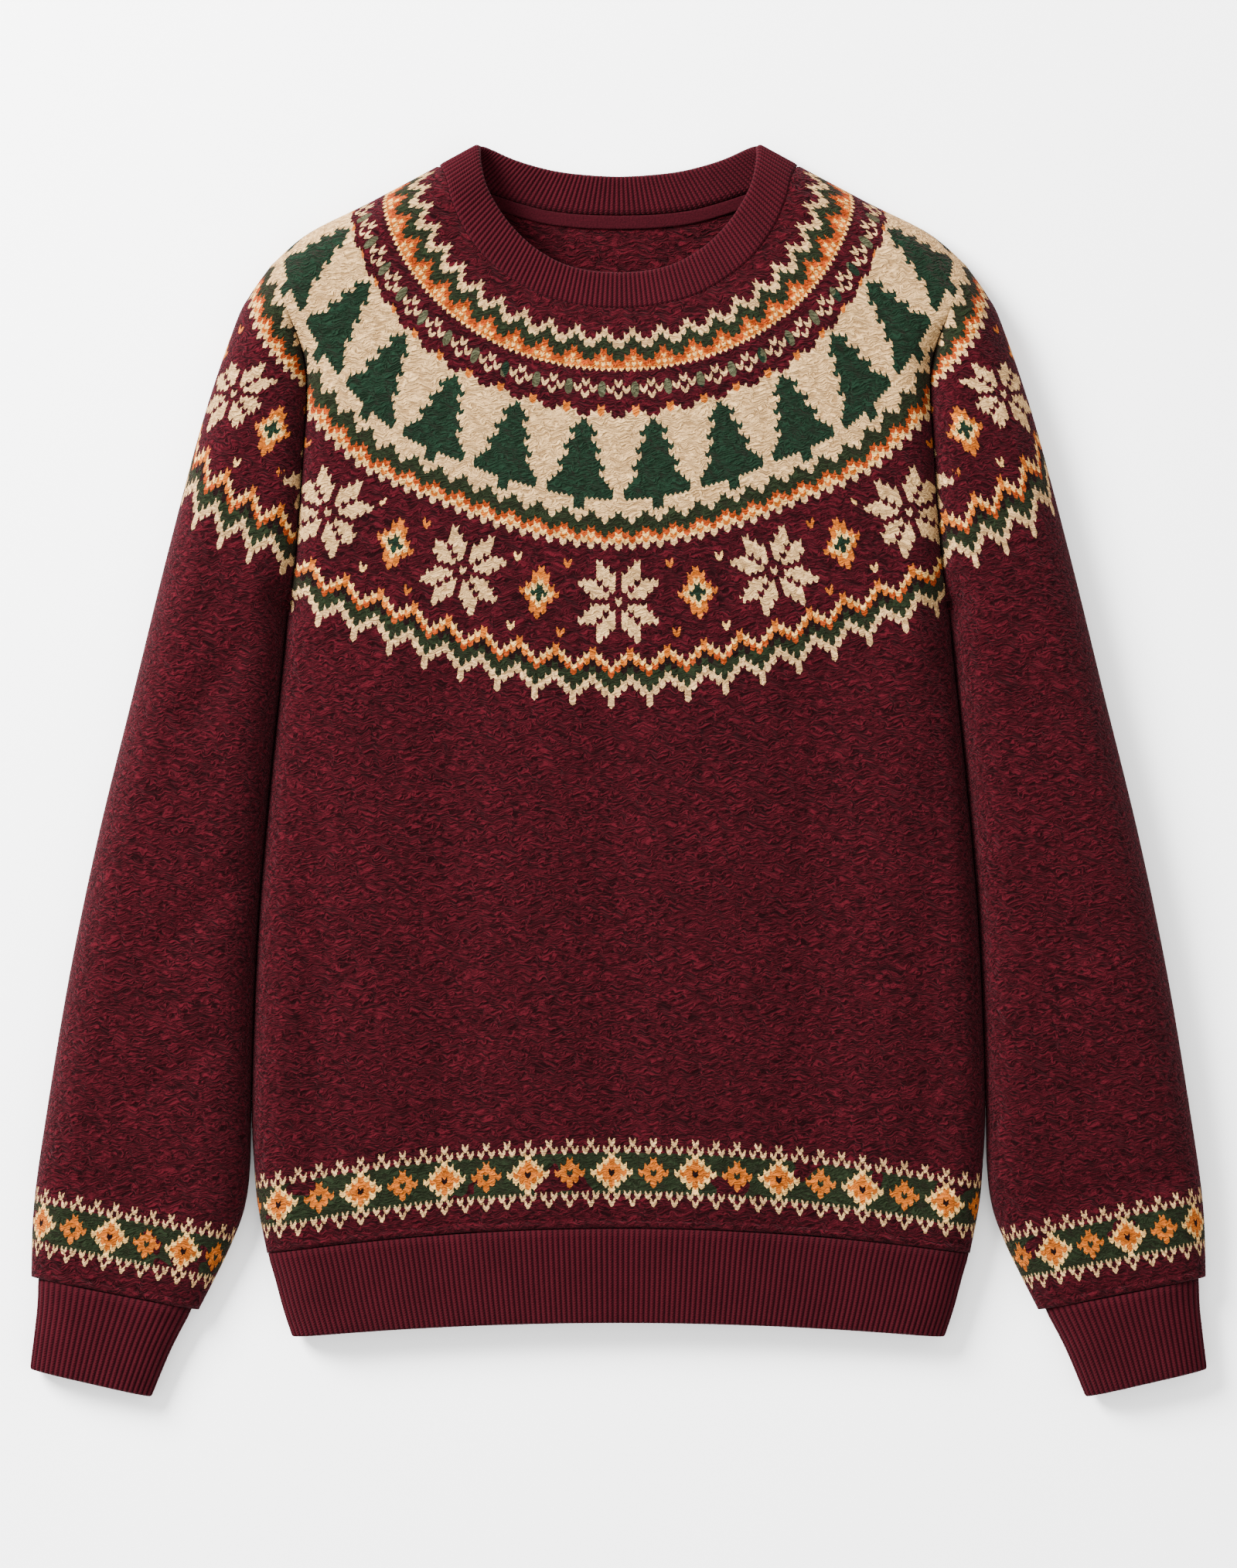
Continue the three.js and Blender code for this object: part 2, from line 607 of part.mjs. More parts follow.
function mirroredGeometry(geometry) {
  const copy = geometry.clone().scale(-1, 1, 1);
  const order = copy.getIndex().array;
  for (let i = 0; i < order.length; i += 3) {
    [order[i + 1], order[i + 2]] = [order[i + 2], order[i + 1]];
  }
  copy.computeVertexNormals();
  return copy;
}

const BURGUNDY = 0x571c26;
const RIB_BURGUNDY = 0x521a24;
const cloth = (color) => new THREE.MeshStandardMaterial({ color, roughness: 0.95, metalness: 0 });
const knit = () => cloth(BURGUNDY);
const rib = () => cloth(RIB_BURGUNDY);

const sweater = new THREE.Group();
function addPiece(name, geometry, material) {
  const mesh = new THREE.Mesh(geometry, material);
  mesh.name = name;
  sweater.add(mesh);
}

const leftSleeve = sleeveWall();
const leftCuff = cuffWall();
addPiece('front_panel', bodyPanel(1, lines.neckSeamFront), knit());
addPiece('back_panel', bodyPanel(-1, lines.neckSeamBack), knit());
addPiece('sleeve_left', leftSleeve, knit());
addPiece('sleeve_right', mirroredGeometry(leftSleeve), knit());
addPiece('collar', collarWall(), rib());
addPiece('hem_band', hemWall(), rib());
addPiece('cuff_left', leftCuff, rib());
addPiece('cuff_right', mirroredGeometry(leftCuff), rib());
addPiece('neck_tape', neckTape(), rib());

export default sweater;
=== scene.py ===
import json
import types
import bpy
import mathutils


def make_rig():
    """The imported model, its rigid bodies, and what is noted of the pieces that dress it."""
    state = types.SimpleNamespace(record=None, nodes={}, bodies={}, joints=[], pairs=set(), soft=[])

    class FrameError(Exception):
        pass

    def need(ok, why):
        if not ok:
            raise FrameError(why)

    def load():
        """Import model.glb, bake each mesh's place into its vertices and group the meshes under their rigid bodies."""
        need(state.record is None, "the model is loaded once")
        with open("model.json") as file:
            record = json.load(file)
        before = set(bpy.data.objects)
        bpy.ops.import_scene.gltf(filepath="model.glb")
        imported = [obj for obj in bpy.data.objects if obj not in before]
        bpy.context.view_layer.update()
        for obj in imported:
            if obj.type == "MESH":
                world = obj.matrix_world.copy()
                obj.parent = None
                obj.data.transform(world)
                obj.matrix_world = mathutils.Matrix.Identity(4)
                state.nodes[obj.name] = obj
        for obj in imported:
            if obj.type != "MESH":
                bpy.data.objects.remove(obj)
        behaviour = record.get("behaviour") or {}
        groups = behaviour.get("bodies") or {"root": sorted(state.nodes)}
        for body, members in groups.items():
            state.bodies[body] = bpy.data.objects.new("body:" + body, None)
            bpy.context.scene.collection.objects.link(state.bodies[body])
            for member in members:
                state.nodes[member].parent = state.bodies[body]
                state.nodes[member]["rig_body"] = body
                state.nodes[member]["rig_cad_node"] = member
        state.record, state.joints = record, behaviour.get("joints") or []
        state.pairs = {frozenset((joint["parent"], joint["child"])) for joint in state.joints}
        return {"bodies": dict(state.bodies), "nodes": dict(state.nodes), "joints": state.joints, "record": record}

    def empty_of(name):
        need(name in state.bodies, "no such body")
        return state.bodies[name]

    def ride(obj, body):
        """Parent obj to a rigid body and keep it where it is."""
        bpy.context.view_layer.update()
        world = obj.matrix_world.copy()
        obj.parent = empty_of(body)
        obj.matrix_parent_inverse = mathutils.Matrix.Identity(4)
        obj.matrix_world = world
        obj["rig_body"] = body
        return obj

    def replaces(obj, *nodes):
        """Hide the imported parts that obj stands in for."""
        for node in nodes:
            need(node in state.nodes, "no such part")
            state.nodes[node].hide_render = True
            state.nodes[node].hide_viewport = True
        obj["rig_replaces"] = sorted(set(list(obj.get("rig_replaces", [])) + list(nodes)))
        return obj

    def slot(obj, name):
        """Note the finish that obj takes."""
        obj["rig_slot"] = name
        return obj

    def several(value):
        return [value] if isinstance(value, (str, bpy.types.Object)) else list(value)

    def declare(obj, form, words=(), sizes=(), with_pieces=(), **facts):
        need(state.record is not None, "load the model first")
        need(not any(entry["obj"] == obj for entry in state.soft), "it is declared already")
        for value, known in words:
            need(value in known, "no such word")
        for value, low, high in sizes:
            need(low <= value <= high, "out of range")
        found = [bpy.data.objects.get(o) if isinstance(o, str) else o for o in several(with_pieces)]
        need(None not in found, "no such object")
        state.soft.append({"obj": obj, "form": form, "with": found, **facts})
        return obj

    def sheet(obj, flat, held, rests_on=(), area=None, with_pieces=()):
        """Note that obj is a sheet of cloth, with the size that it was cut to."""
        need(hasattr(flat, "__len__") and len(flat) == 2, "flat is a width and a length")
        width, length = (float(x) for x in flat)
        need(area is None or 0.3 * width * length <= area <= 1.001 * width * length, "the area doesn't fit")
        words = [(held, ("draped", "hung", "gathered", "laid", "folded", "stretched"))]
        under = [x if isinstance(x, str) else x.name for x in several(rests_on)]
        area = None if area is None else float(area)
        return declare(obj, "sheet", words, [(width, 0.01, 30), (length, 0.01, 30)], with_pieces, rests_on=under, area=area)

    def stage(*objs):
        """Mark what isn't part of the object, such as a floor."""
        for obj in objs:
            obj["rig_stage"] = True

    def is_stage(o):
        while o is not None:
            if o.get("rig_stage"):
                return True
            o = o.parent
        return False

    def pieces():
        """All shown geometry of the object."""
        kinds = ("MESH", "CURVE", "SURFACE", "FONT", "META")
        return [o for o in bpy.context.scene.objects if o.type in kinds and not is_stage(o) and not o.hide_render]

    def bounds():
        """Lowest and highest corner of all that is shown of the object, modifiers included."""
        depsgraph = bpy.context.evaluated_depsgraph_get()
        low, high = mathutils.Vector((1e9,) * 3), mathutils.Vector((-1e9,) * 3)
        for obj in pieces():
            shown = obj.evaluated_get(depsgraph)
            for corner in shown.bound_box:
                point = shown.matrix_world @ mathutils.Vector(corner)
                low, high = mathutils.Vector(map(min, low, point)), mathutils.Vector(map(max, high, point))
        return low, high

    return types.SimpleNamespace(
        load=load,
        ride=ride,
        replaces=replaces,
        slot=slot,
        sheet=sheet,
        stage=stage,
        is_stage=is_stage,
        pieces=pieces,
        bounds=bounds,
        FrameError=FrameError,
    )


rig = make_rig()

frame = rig.load()

import json
import math

import bmesh
import bpy
import numpy as np
from mathutils import Vector

CAD_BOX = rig.bounds()

# A Christmas sweater with a round patterned yoke, lying flat on its back.
# Shapes are worked out in millimetres, like the part, and become metres in each mesh.
# X runs across, Y from the hem to the neck, Z up from the surface it lies on.
MM = 0.001

# Cloth
WALL = 3.0
RIB_WALL = 4.0
RIB_HEIGHT = 0.75
STEP = 2.5  # distance between the lines of a panel's grid
SEAM_GAP = 0.2

# Loft
FOLD_Z = 9.0
FRONT_ROLL = 24.0
BACK_ROLL = 12.0
CREASE_ROLL = 20.0
CREASE_DEPTH = 0.72
CREASE_START = 262.0
CREASE_FULL = 226.0
NECK_CENTRE = (0.0, 300.0)
NECK_DIP = 6.0
NECK_DIP_RADIUS = 60.0

# Ribs that show on top
HEM_RIBS = 132
CUFF_RIBS = 27
COLLAR_FRONT_RIBS = 100
COLLAR_BACK_RIBS = 80
COLLAR_WIDTH = 22.0
RIB_STEPS = 6

# Outline of the wearer's left half, seen from above. Columns: x, y.
SIDE = [
    [196, -269], [201, -243], [203, -222], [204.5, -188], [203, -130], [200, -74],
    [194, -6], [187, 61], [184, 92],
]
ARMHOLE = [
    [184, 92], [180.5, 112], [178, 141], [175, 186], [173.5, 211], [175.5, 232], [184, 256],
    [193.5, 282],
]
SHOULDER = [[193.5, 282], [173, 299.5], [139, 316.7], [100, 337.5]]
NECK_SEAM_FRONT = [
    [100, 337.5], [96.2, 330], [93, 317], [84.5, 298.5], [70, 281], [46, 265.3], [22, 258.4],
    [0, 256.5],
]
NECK_SEAM_BACK = [
    [100, 337.5], [96.2, 331.5], [88, 327], [72, 322.5], [57, 317.6], [40, 313.2], [20, 310.9],
    [0, 310.3],
]
NECK_FOLD = [[100, 337.5], [78, 349.5]]
NECK_EDGE_FRONT = [
    [78, 349.5], [76.5, 338], [73, 325], [66, 312], [57.5, 301], [46, 290.5], [31, 282],
    [15, 278], [0, 277],
]
NECK_EDGE_BACK = [
    [78, 349.5], [70, 346.5], [60, 342], [48, 338], [33, 334.5], [15, 332.5], [0, 331.8],
]
SLEEVE_OUTER = [
    [193.5, 282], [205.5, 265], [214, 248], [231.5, 196], [252, 119], [271, 41.5], [290, -36],
    [306, -113], [319, -191], [326, -242], [327.5, -282],
]
SLEEVE_INNER = [
    [184, 92], [187, 61], [194, -6], [200, -74], [203, -130], [204.7, -188], [205.5, -222],
    [208.5, -244], [215, -262], [223.5, -280], [234, -300.5],
]
CUFF_OUTER = [[323.5, -283.1], [324, -300], [328, -334]]
CUFF_INNER = [[238, -300.1], [249.5, -322], [261, -349.5]]
HEM_SIDE = [[195.5, -269.3], [191.8, -281.4], [186.8, -300], [181.5, -316]]
HEM_SEAM_Y = -254.4
HEM_SEAM_DROP = 14.6
HEM_END_Y = -307.7

# Full height of the front layer. Columns: y, z.
LOFT = [
    [-350, 16], [-300, 20], [-270, 22.5], [-240, 26], [-180, 30], [-60, 32.5], [120, 33],
    [260, 31], [300, 28], [350, 24],
]

# Soft troughs. Columns: from x, from y, to x, to y, half width, depth.
BODY_TROUGHS = [
    [-174, 60, -168, -225, 14, 3.0],
    [-95, 40, -92, -240, 22, 3.8],
    [-4, 30, 0, -236, 20, 3.0],
    [112, 50, 108, -240, 23, 4.2],
    [178, 55, 174, -228, 13, 3.0],
]
SLEEVE_TROUGHS = [
    [208, 70, 238, 28, 9, 2.6],
    [214, -62, 252, -100, 10, 2.6],
    [224, -150, 262, -178, 9, 2.2],
    [246, -236, 306, -226, 9, 2.4],
]

# Knitting. A stitch is as wide as it is tall.
STITCH = 3.16
HANG = 0.55  # how far the middle of a stitch hangs below its arms, in rows
YOKE_CENTRE = (0.0, 336.0)
YOKE_STRETCH = 0.15  # repeats lie closer together towards the sides
YOKE_SLANT = 0.0028  # radians that a column of stitches leans for each millimetre outwards
SLANT_RADIUS = 190.0
STAR_ROW = 242.5  # radius of the ring of stars at the front
# How the rings of the yoke widen towards the sides. Columns: radius at the front, share
# that it widens as an oval, share that it widens as the outer rings do.
YOKE_RINGS = [
    [60, 0.17, 0.0], [92, 0.17, 0.0], [129, 0.17, 0.0], [140, 0.06, 0.6], [193, 0.0, 1.0],
    [280, 0.0, 1.0], [420, 0.0, 1.0],
]
# Columns: degrees from the middle of the front, share that an outer ring widens.
OUTER_WIDENING = [
    [0, 0.0], [16, -0.007], [27, -0.003], [34, 0.017], [40, 0.037], [51, 0.043],
    [58, 0.041], [90, 0.045],
]
SLEEVE_RISE = 20.0  # the yoke sits higher on a sleeve where it leaves the armhole
SLEEVE_RISE_REACH = 45.0


class Line:
    """A line through points, read by even length from 0 to 1."""

    def __init__(self, rows, smooth=True):
        knots = np.array(rows, float)
        if smooth:
            knots = np.vstack([self.smoothed(knots), knots[-1:]])
        self.points = knots
        steps = np.hypot(*np.diff(knots, axis=0).T)
        self.lengths = np.concatenate([[0], np.cumsum(steps)])
        self.length = self.lengths[-1]

    @staticmethod
    def smoothed(knots, steps=24):
        """The points of the curve that the part's own outline follows."""
        padded = np.vstack([knots[:1], knots, knots[-1:]])
        t = np.linspace(0, 1, steps, endpoint=False)[:, None]
        stretches = []
        for before, start, end, after in zip(padded, padded[1:], padded[2:], padded[3:]):
            leave, arrive = (end - before) / 2, (after - start) / 2
            stretches.append((2 * start - 2 * end + leave + arrive) * t ** 3
                             + (3 * end - 3 * start - 2 * leave - arrive) * t ** 2
                             + leave * t + start)
        return np.vstack(stretches)

    def at(self, share):
        where = np.asarray(share) * self.length
        return np.stack([np.interp(where, self.lengths, self.points[:, axis])
                         for axis in (0, 1)], axis=-1)


side = Line(SIDE)
armhole = Line(ARMHOLE)
shoulder = Line(SHOULDER)
neck_fold = Line(NECK_FOLD, smooth=False)
neck_seam_front = Line(NECK_SEAM_FRONT)
neck_seam_back = Line(NECK_SEAM_BACK)
neck_edge_front = Line(NECK_EDGE_FRONT)
neck_edge_back = Line(NECK_EDGE_BACK)
sleeve_outer = Line(SLEEVE_OUTER)
sleeve_inner = Line(SLEEVE_INNER)
cuff_outer = Line(CUFF_OUTER)
cuff_inner = Line(CUFF_INNER)
hem_side = Line(HEM_SIDE)

BODY_FOLDS = [side, shoulder, sleeve_outer, neck_fold]
SLEEVE_FOLDS = [sleeve_inner, shoulder, sleeve_outer]
CUFF_FOLDS = [cuff_outer, cuff_inner]
COLLAR_FOLDS = [neck_fold, shoulder]
FOLD_STEPS = 80


def nearest(lines, at):
    """Distance from points to the nearest of some lines, and the level direction to it."""
    traces = [line.at(np.linspace(0, 1, FOLD_STEPS + 1)) for line in lines]
    start = np.vstack([trace[:-1] for trace in traces])
    along = np.vstack([np.diff(trace, axis=0) for trace in traces])
    square = (along ** 2).sum(axis=1)
    points = np.asarray(at, float).reshape(-1, 2)
    distance = np.empty(len(points))
    toward = np.empty((len(points), 2))
    for first in range(0, len(points), 8192):
        part = slice(first, first + 8192)
        offset = points[part, None] - start
        t = np.clip((offset * along).sum(axis=2) / square, 0, 1)
        offset -= t[..., None] * along
        squares = (offset ** 2).sum(axis=2)
        best = squares.argmin(axis=1)
        rows = np.arange(len(best))
        distance[part] = np.sqrt(squares[rows, best])
        across = along[best][:, ::-1] * (1, -1) / np.sqrt(square[best])[:, None]
        way = -offset[rows, best]
        near = distance[part] > 0.5
        toward[part] = np.where(near[:, None],
                                way / np.maximum(distance[part], 0.5)[:, None], across)
    shape = np.asarray(at).shape[:-1]
    return distance.reshape(shape), toward.reshape(*shape, 2)


def distance_to_stretch(at, x0, y0, x1, y1):
    along = np.array([x1 - x0, y1 - y0], float)
    offset = at - (x0, y0)
    t = np.clip((offset * along).sum(axis=-1) / (along ** 2).sum(), 0, 1)
    return np.linalg.norm(offset - t[..., None] * along, axis=-1)


def roll(distance, reach):
    """0 at a fold and 1 from reach onwards, round like the edge of a cushion."""
    left = np.maximum(0, 1 - distance / reach)
    return np.sqrt(1 - left ** 2)


def smooth_step(x, start, end):
    t = np.clip((x - start) / (end - start), 0, 1)
    return t * t * (3 - 2 * t)


def troughs_at(rows, at):
    depth = 0
    for x0, y0, x1, y1, width, deep in rows:
        depth = depth + deep * np.exp(-(distance_to_stretch(at, x0, y0, x1, y1) / width) ** 2)
    return depth


def right_half(at):
    return np.stack([np.abs(at[..., 0]), at[..., 1]], axis=-1)


def front_height(at, folds):
    half = right_half(at)
    from_neck = np.hypot(at[..., 0] - NECK_CENTRE[0], at[..., 1] - NECK_CENTRE[1])
    full = (np.interp(at[..., 1], *np.transpose(LOFT))
            - NECK_DIP * np.exp(-(from_neck / NECK_DIP_RADIUS) ** 2)
            - troughs_at(BODY_TROUGHS, at) - troughs_at(SLEEVE_TROUGHS, half))
    strength = smooth_step(-at[..., 1], -CREASE_START, -CREASE_FULL)
    creased = CREASE_DEPTH * strength * (1 - roll(nearest([armhole], half)[0], CREASE_ROLL))
    open_share = roll(nearest(folds, half)[0], FRONT_ROLL)
    return FOLD_Z + (full - FOLD_Z) * open_share * (1 - creased)


def back_height(at, folds):
    return FOLD_Z * (1 - roll(nearest(folds, right_half(at))[0], BACK_ROLL))


def patch(bottom, top, left, right):
    """A four-sided patch between its edges: bottom and top along u, left and right along v."""
    corners = [bottom(0.0), bottom(1.0), top(0.0), top(1.0)]

    def plan(u, v):
        across, up = u[..., None], v[..., None]
        return ((1 - up) * bottom(u) + up * top(u) + (1 - across) * left(v) + across * right(v)
                - (1 - across) * (1 - up) * corners[0] - across * (1 - up) * corners[1]
                - (1 - across) * up * corners[2] - across * up * corners[3])

    return plan


def mirrored(points):
    return points * (-1, 1)


def whole(half_at):
    """A line over both halves, from a line of the left half that ends in the middle."""
    def line(u):
        u = np.asarray(u)
        points = half_at(1 - np.abs(2 * u - 1))
        return np.where((u > 0.5)[..., None], points, mirrored(points))
    return line


def even_shares(surface, step):
    """Shares that split a line on a surface into even lengths."""
    share = np.linspace(0, 1, 1201)
    points = surface(share)
    length = np.concatenate([[0], np.cumsum(np.linalg.norm(np.diff(points, axis=0), axis=1))])
    count = max(2, round(length[-1] / step))
    return np.interp(np.linspace(0, length[-1], count + 1), length, share)


def height_on(plan, height):
    """A surface in space, from a plan and its height."""
    def surface(u, v):
        at = plan(u, v)
        return np.concatenate([at, height(at)[..., None]], axis=-1)
    return surface


def cloth_mesh(name, columns, rows, place):
    """A grid whose lines lie at the shares in columns and rows.

    place turns the shares into millimetres and into a dictionary of UV maps."""
    bm = bmesh.new()
    bmesh.ops.create_grid(bm, x_segments=len(columns) - 1, y_segments=len(rows) - 1, size=0.5)
    mesh = bpy.data.meshes.new(name)
    bm.to_mesh(mesh)
    bm.free()
    flat = np.empty(3 * len(mesh.vertices), np.float32)
    mesh.vertices.foreach_get("co", flat)
    flat = flat.reshape(-1, 3) + 0.5
    u = np.interp(flat[:, 0], np.linspace(0, 1, len(columns)), columns)
    v = np.interp(flat[:, 1], np.linspace(0, 1, len(rows)), rows)
    points, maps = place(u, v)
    mesh.vertices.foreach_set("co", (points * MM).astype(np.float32).ravel())
    corner = np.empty(len(mesh.loops), np.int32)
    mesh.loops.foreach_get("vertex_index", corner)
    for map_name, values in maps.items():
        spread = values[corner]
        if map_name == "motif":
            middles = spread.reshape(-1, 4, 2).mean(axis=1).repeat(4, axis=0)
            spread = motif_places(spread, middles)
        layer = mesh.uv_layers.new(name=map_name)
        layer.data.foreach_set("uv", spread.astype(np.float32).ravel())
    bm = bmesh.new()
    bm.from_mesh(mesh)
    bmesh.ops.remove_doubles(bm, verts=bm.verts, dist=1e-6)
    for face in bm.faces:
        face.smooth = True
    bm.to_mesh(mesh)
    bm.free()
    return mesh


def flip_if(mesh, wrong):
    if wrong:
        mesh.flip_normals()


def add_object(name, mesh, material, slot):
    piece = bpy.data.objects.new(name, mesh)
    bpy.context.scene.collection.objects.link(piece)
    mesh.materials.append(material)
    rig.ride(piece, "root")
    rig.slot(piece, slot)
    return piece


def add_wall(piece, thickness, lining=None):
    wall = piece.modifiers.new("Wall", "SOLIDIFY")
    wall.thickness = thickness * MM
    wall.offset = -1
    if lining:
        piece.data.materials.append(lining)
        wall.material_offset = 1


def unrolled(at, folds, layer, inside):
    """Where points lie once the roll beside a fold is laid flat, so that stitches keep
    their size round it."""
    half = right_half(at)
    distance, toward = nearest(folds, half)
    reach = np.clip(1 - distance / FRONT_ROLL, 0, 1)
    front_extra = FRONT_ROLL * (np.arcsin(reach) - reach)
    if layer > 0:
        extra = front_extra
    else:
        past = FRONT_ROLL * (math.pi / 2 - 1)
        turned = BACK_ROLL * (math.pi / 2 - np.arcsin(np.clip(1 - distance / BACK_ROLL, 0, 1)))
        extra = (past + np.minimum(distance, BACK_ROLL) - turned) * np.exp(
            -np.maximum(0, distance - BACK_ROLL) / 60)
    outward = np.sign(((half - inside) * toward).sum(axis=-1))
    moved = half + toward * (outward * extra)[..., None]
    return np.stack([np.where(at[..., 0] < 0, -moved[..., 0], moved[..., 0]),
                     moved[..., 1]], axis=-1)


BACK_CENTRE_RISE = 45.0
BACK_BLEND = 60.0


def outer_widening(angle):
    return np.interp(np.degrees(np.abs(angle)), *np.transpose(OUTER_WIDENING))


def yoke_map(flat, folds, layer):
    """Turns round the yoke from the middle of the front and stitches out from its centre,
    and millimetres across and down from its centre."""
    centre_y = np.full(flat.shape[:-1], YOKE_CENTRE[1])
    if layer < 0:
        angle = np.arctan2(flat[..., 0], YOKE_CENTRE[1] - flat[..., 1])
        inner = smooth_step(nearest(folds, right_half(flat))[0], 0, BACK_BLEND)
        centre_y = centre_y + BACK_CENTRE_RISE * np.cos(angle) ** 2 * inner
    dx, dy = flat[..., 0] - YOKE_CENTRE[0], centre_y - flat[..., 1]
    angle = np.arctan2(dx, dy)
    radius = np.hypot(dx, dy)
    across = np.sin(angle) ** 2
    outer = outer_widening(angle)
    rings = [ring * (1 + oval * across + share * outer) for ring, oval, share in YOKE_RINGS]
    front_radius = np.zeros_like(radius)
    for k in range(1, len(YOKE_RINGS)):
        low, high = rings[k - 1], rings[k]
        t = np.clip((radius - low) / (high - low), 0, 1)
        front_radius += t * (YOKE_RINGS[k][0] - YOKE_RINGS[k - 1][0])
    front_radius += YOKE_RINGS[0][0]
    leant = angle + YOKE_SLANT * np.sin(angle) * (front_radius - SLANT_RADIUS)
    turn = (leant + YOKE_STRETCH * (leant / 2 - np.sin(2 * leant) / 4)) / (1 + YOKE_STRETCH / 2)
    return (np.stack([turn / (2 * math.pi), front_radius / STITCH], axis=-1),
            np.stack([dx, dy], axis=-1))


# Stars and the diamonds between them, every other one. Columns: degrees from the middle of
# the front, degrees that its columns lean, degrees that its rows lean.
YOKE_MOTIFS = [
    [0, 0, 0], [10.5, 6, 8], [21, 16, 16], [30.5, 16, 27], [39.9, 21, 22], [49.5, 22, 30],
    [58, 18, 20], [67, 26, 34], [76.5, 32, 36], [86, 40, 44], [95, 44, 48],
]
DIAMOND_SHIFT = 100.0  # stitches across that mark a diamond


def motif_places(corners, middles):
    """Where the corners of faces lie in the motif that each face belongs to: stitches across
    and up from its middle. Both are given in millimetres across and down from the yoke's
    centre, middles repeated for each corner."""
    motifs = np.array(YOKE_MOTIFS, float)
    angle = np.degrees(np.arctan2(np.abs(middles[:, 0]), middles[:, 1]))
    number = np.abs(angle[:, None] - motifs[:, 0]).argmin(axis=1)
    turn, up_lean, row_lean = np.radians(motifs[number]).T
    reach = STAR_ROW * (1 + outer_widening(turn))
    across = corners[:, 0] * np.sign(middles[:, 0]) - reach * np.sin(turn)
    down = corners[:, 1] - reach * np.cos(turn)
    square = np.cos(up_lean - row_lean) * STITCH
    right = (across * np.cos(up_lean) - down * np.sin(up_lean)) / square
    up = -(down * np.cos(row_lean) + across * np.sin(row_lean)) / square
    return np.stack([right + DIAMOND_SHIFT * (number % 2), up], axis=-1)


def hem_seam(x):
    x = np.asarray(x, float)
    return np.stack([x, HEM_SEAM_Y - HEM_SEAM_DROP * (x / SIDE[0][0]) ** 2], axis=-1)


RIDGE_WIDTH = 4.4
RIDGE_HEIGHT = 1.0
SEAM_GROOVE = 1.2
UPPER_GROOVE = 0.5
UPPER_GROOVE_AT = RIDGE_WIDTH + 0.6
GROOVE_WIDTH = 0.9


def ridge(distance):
    """The roll of cloth above a rib seam, with a groove on either side."""
    swell = RIDGE_HEIGHT * np.sin(math.pi * np.clip(distance / RIDGE_WIDTH, 0, 1))
    at_seam = SEAM_GROOVE * np.exp(-(distance / GROOVE_WIDTH) ** 2)
    above = UPPER_GROOVE * np.exp(-((distance - UPPER_GROOVE_AT) / GROOVE_WIDTH) ** 2)
    return swell - at_seam - above


# Bands above the ribs. A shift is how far, in stitches, a large diamond lies from the middle.
HEM_BAND_SCALE = 1.05
HEM_BAND_SHIFT = -1.15
HEM_BAND_DROP = 5.0  # how much further down the band curves than its seam
CUFF_BAND_SCALE = 1.06
CUFF_BAND_SHIFT = 3.0


def build_body_panel(name, layer, neck_seam, material, lining):
    arm_share = side.length / (side.length + armhole.length)

    def edge(v):
        v = np.asarray(v)
        return np.where((v < arm_share)[..., None], side.at(v / arm_share),
                        armhole.at((v - arm_share) / (1 - arm_share)))

    shoulder_share = shoulder.length / (shoulder.length + neck_seam.length)

    def top_half(share):
        share = np.asarray(share)
        return np.where((share < shoulder_share)[..., None],
                        shoulder.at(share / shoulder_share),
                        neck_seam.at((share - shoulder_share) / (1 - shoulder_share)))

    plan = patch(lambda u: hem_seam(SIDE[0][0] * (2 * np.asarray(u) - 1)), whole(top_half),
                 lambda v: mirrored(edge(v)), edge)
    height = front_height if layer > 0 else back_height

    def lifted(at):
        z = height(at, BODY_FOLDS)
        if layer > 0:
            from_seam = at[..., 1] - hem_seam(at[..., 0])[..., 1]
            open_share = roll(nearest(BODY_FOLDS, right_half(at))[0], 8)
            z = z + ridge(from_seam) * open_share
        return z

    surface = height_on(plan, lifted)
    columns = even_shares(lambda u: surface(u, np.full_like(u, 0.4)), STEP)
    rows = even_shares(lambda v: surface(np.full_like(v, 0.12), v), STEP)
    near_seam = np.linspace(0, 8 / side.length * arm_share, 9)
    rows = np.concatenate([near_seam, rows[rows > near_seam[-1] * 1.1]])

    def place(u, v):
        points = surface(u, v)
        at = points[:, :2]
        flat = unrolled(at, BODY_FOLDS, layer, np.array([0.0, 100.0]))
        band_x = flat[:, 0] / (STITCH * HEM_BAND_SCALE) - HEM_BAND_SHIFT
        sag = HEM_BAND_DROP * (at[:, 0] / SIDE[0][0]) ** 2
        band_y = (flat[:, 1] - hem_seam(at[:, 0])[:, 1] + sag) / STITCH
        yoke, from_centre = yoke_map(flat, BODY_FOLDS, layer)
        return points, {"yoke": yoke, "motif": from_centre,
                        "band": np.stack([band_x, band_y], axis=-1)}

    mesh = cloth_mesh(name, columns, rows, place)
    flip_if(mesh, layer < 0)
    piece = add_object(name, mesh, material, "fleecy_knit")
    add_wall(piece, WALL, lining)
    return piece


def split_ring(w):
    """Share across a flat tube and its layer, from the share round it."""
    share = 1 - np.abs(2 * w - 1)
    return np.where(w <= 0.5, 2 * w, share), w <= 0.5


def ring_surface(front_plan, back_plan, folds):
    """The face of a flat tube."""
    def surface(w, v):
        w = np.mod(w, 1.0)
        share, in_front = split_ring(w)
        front = front_plan(share, v)
        back = back_plan(share, v)
        at = np.where(in_front[..., None], front, back)
        z = np.where(in_front, front_height(at, folds), back_height(at, folds))
        return np.concatenate([at, z[..., None]], axis=-1)
    return surface


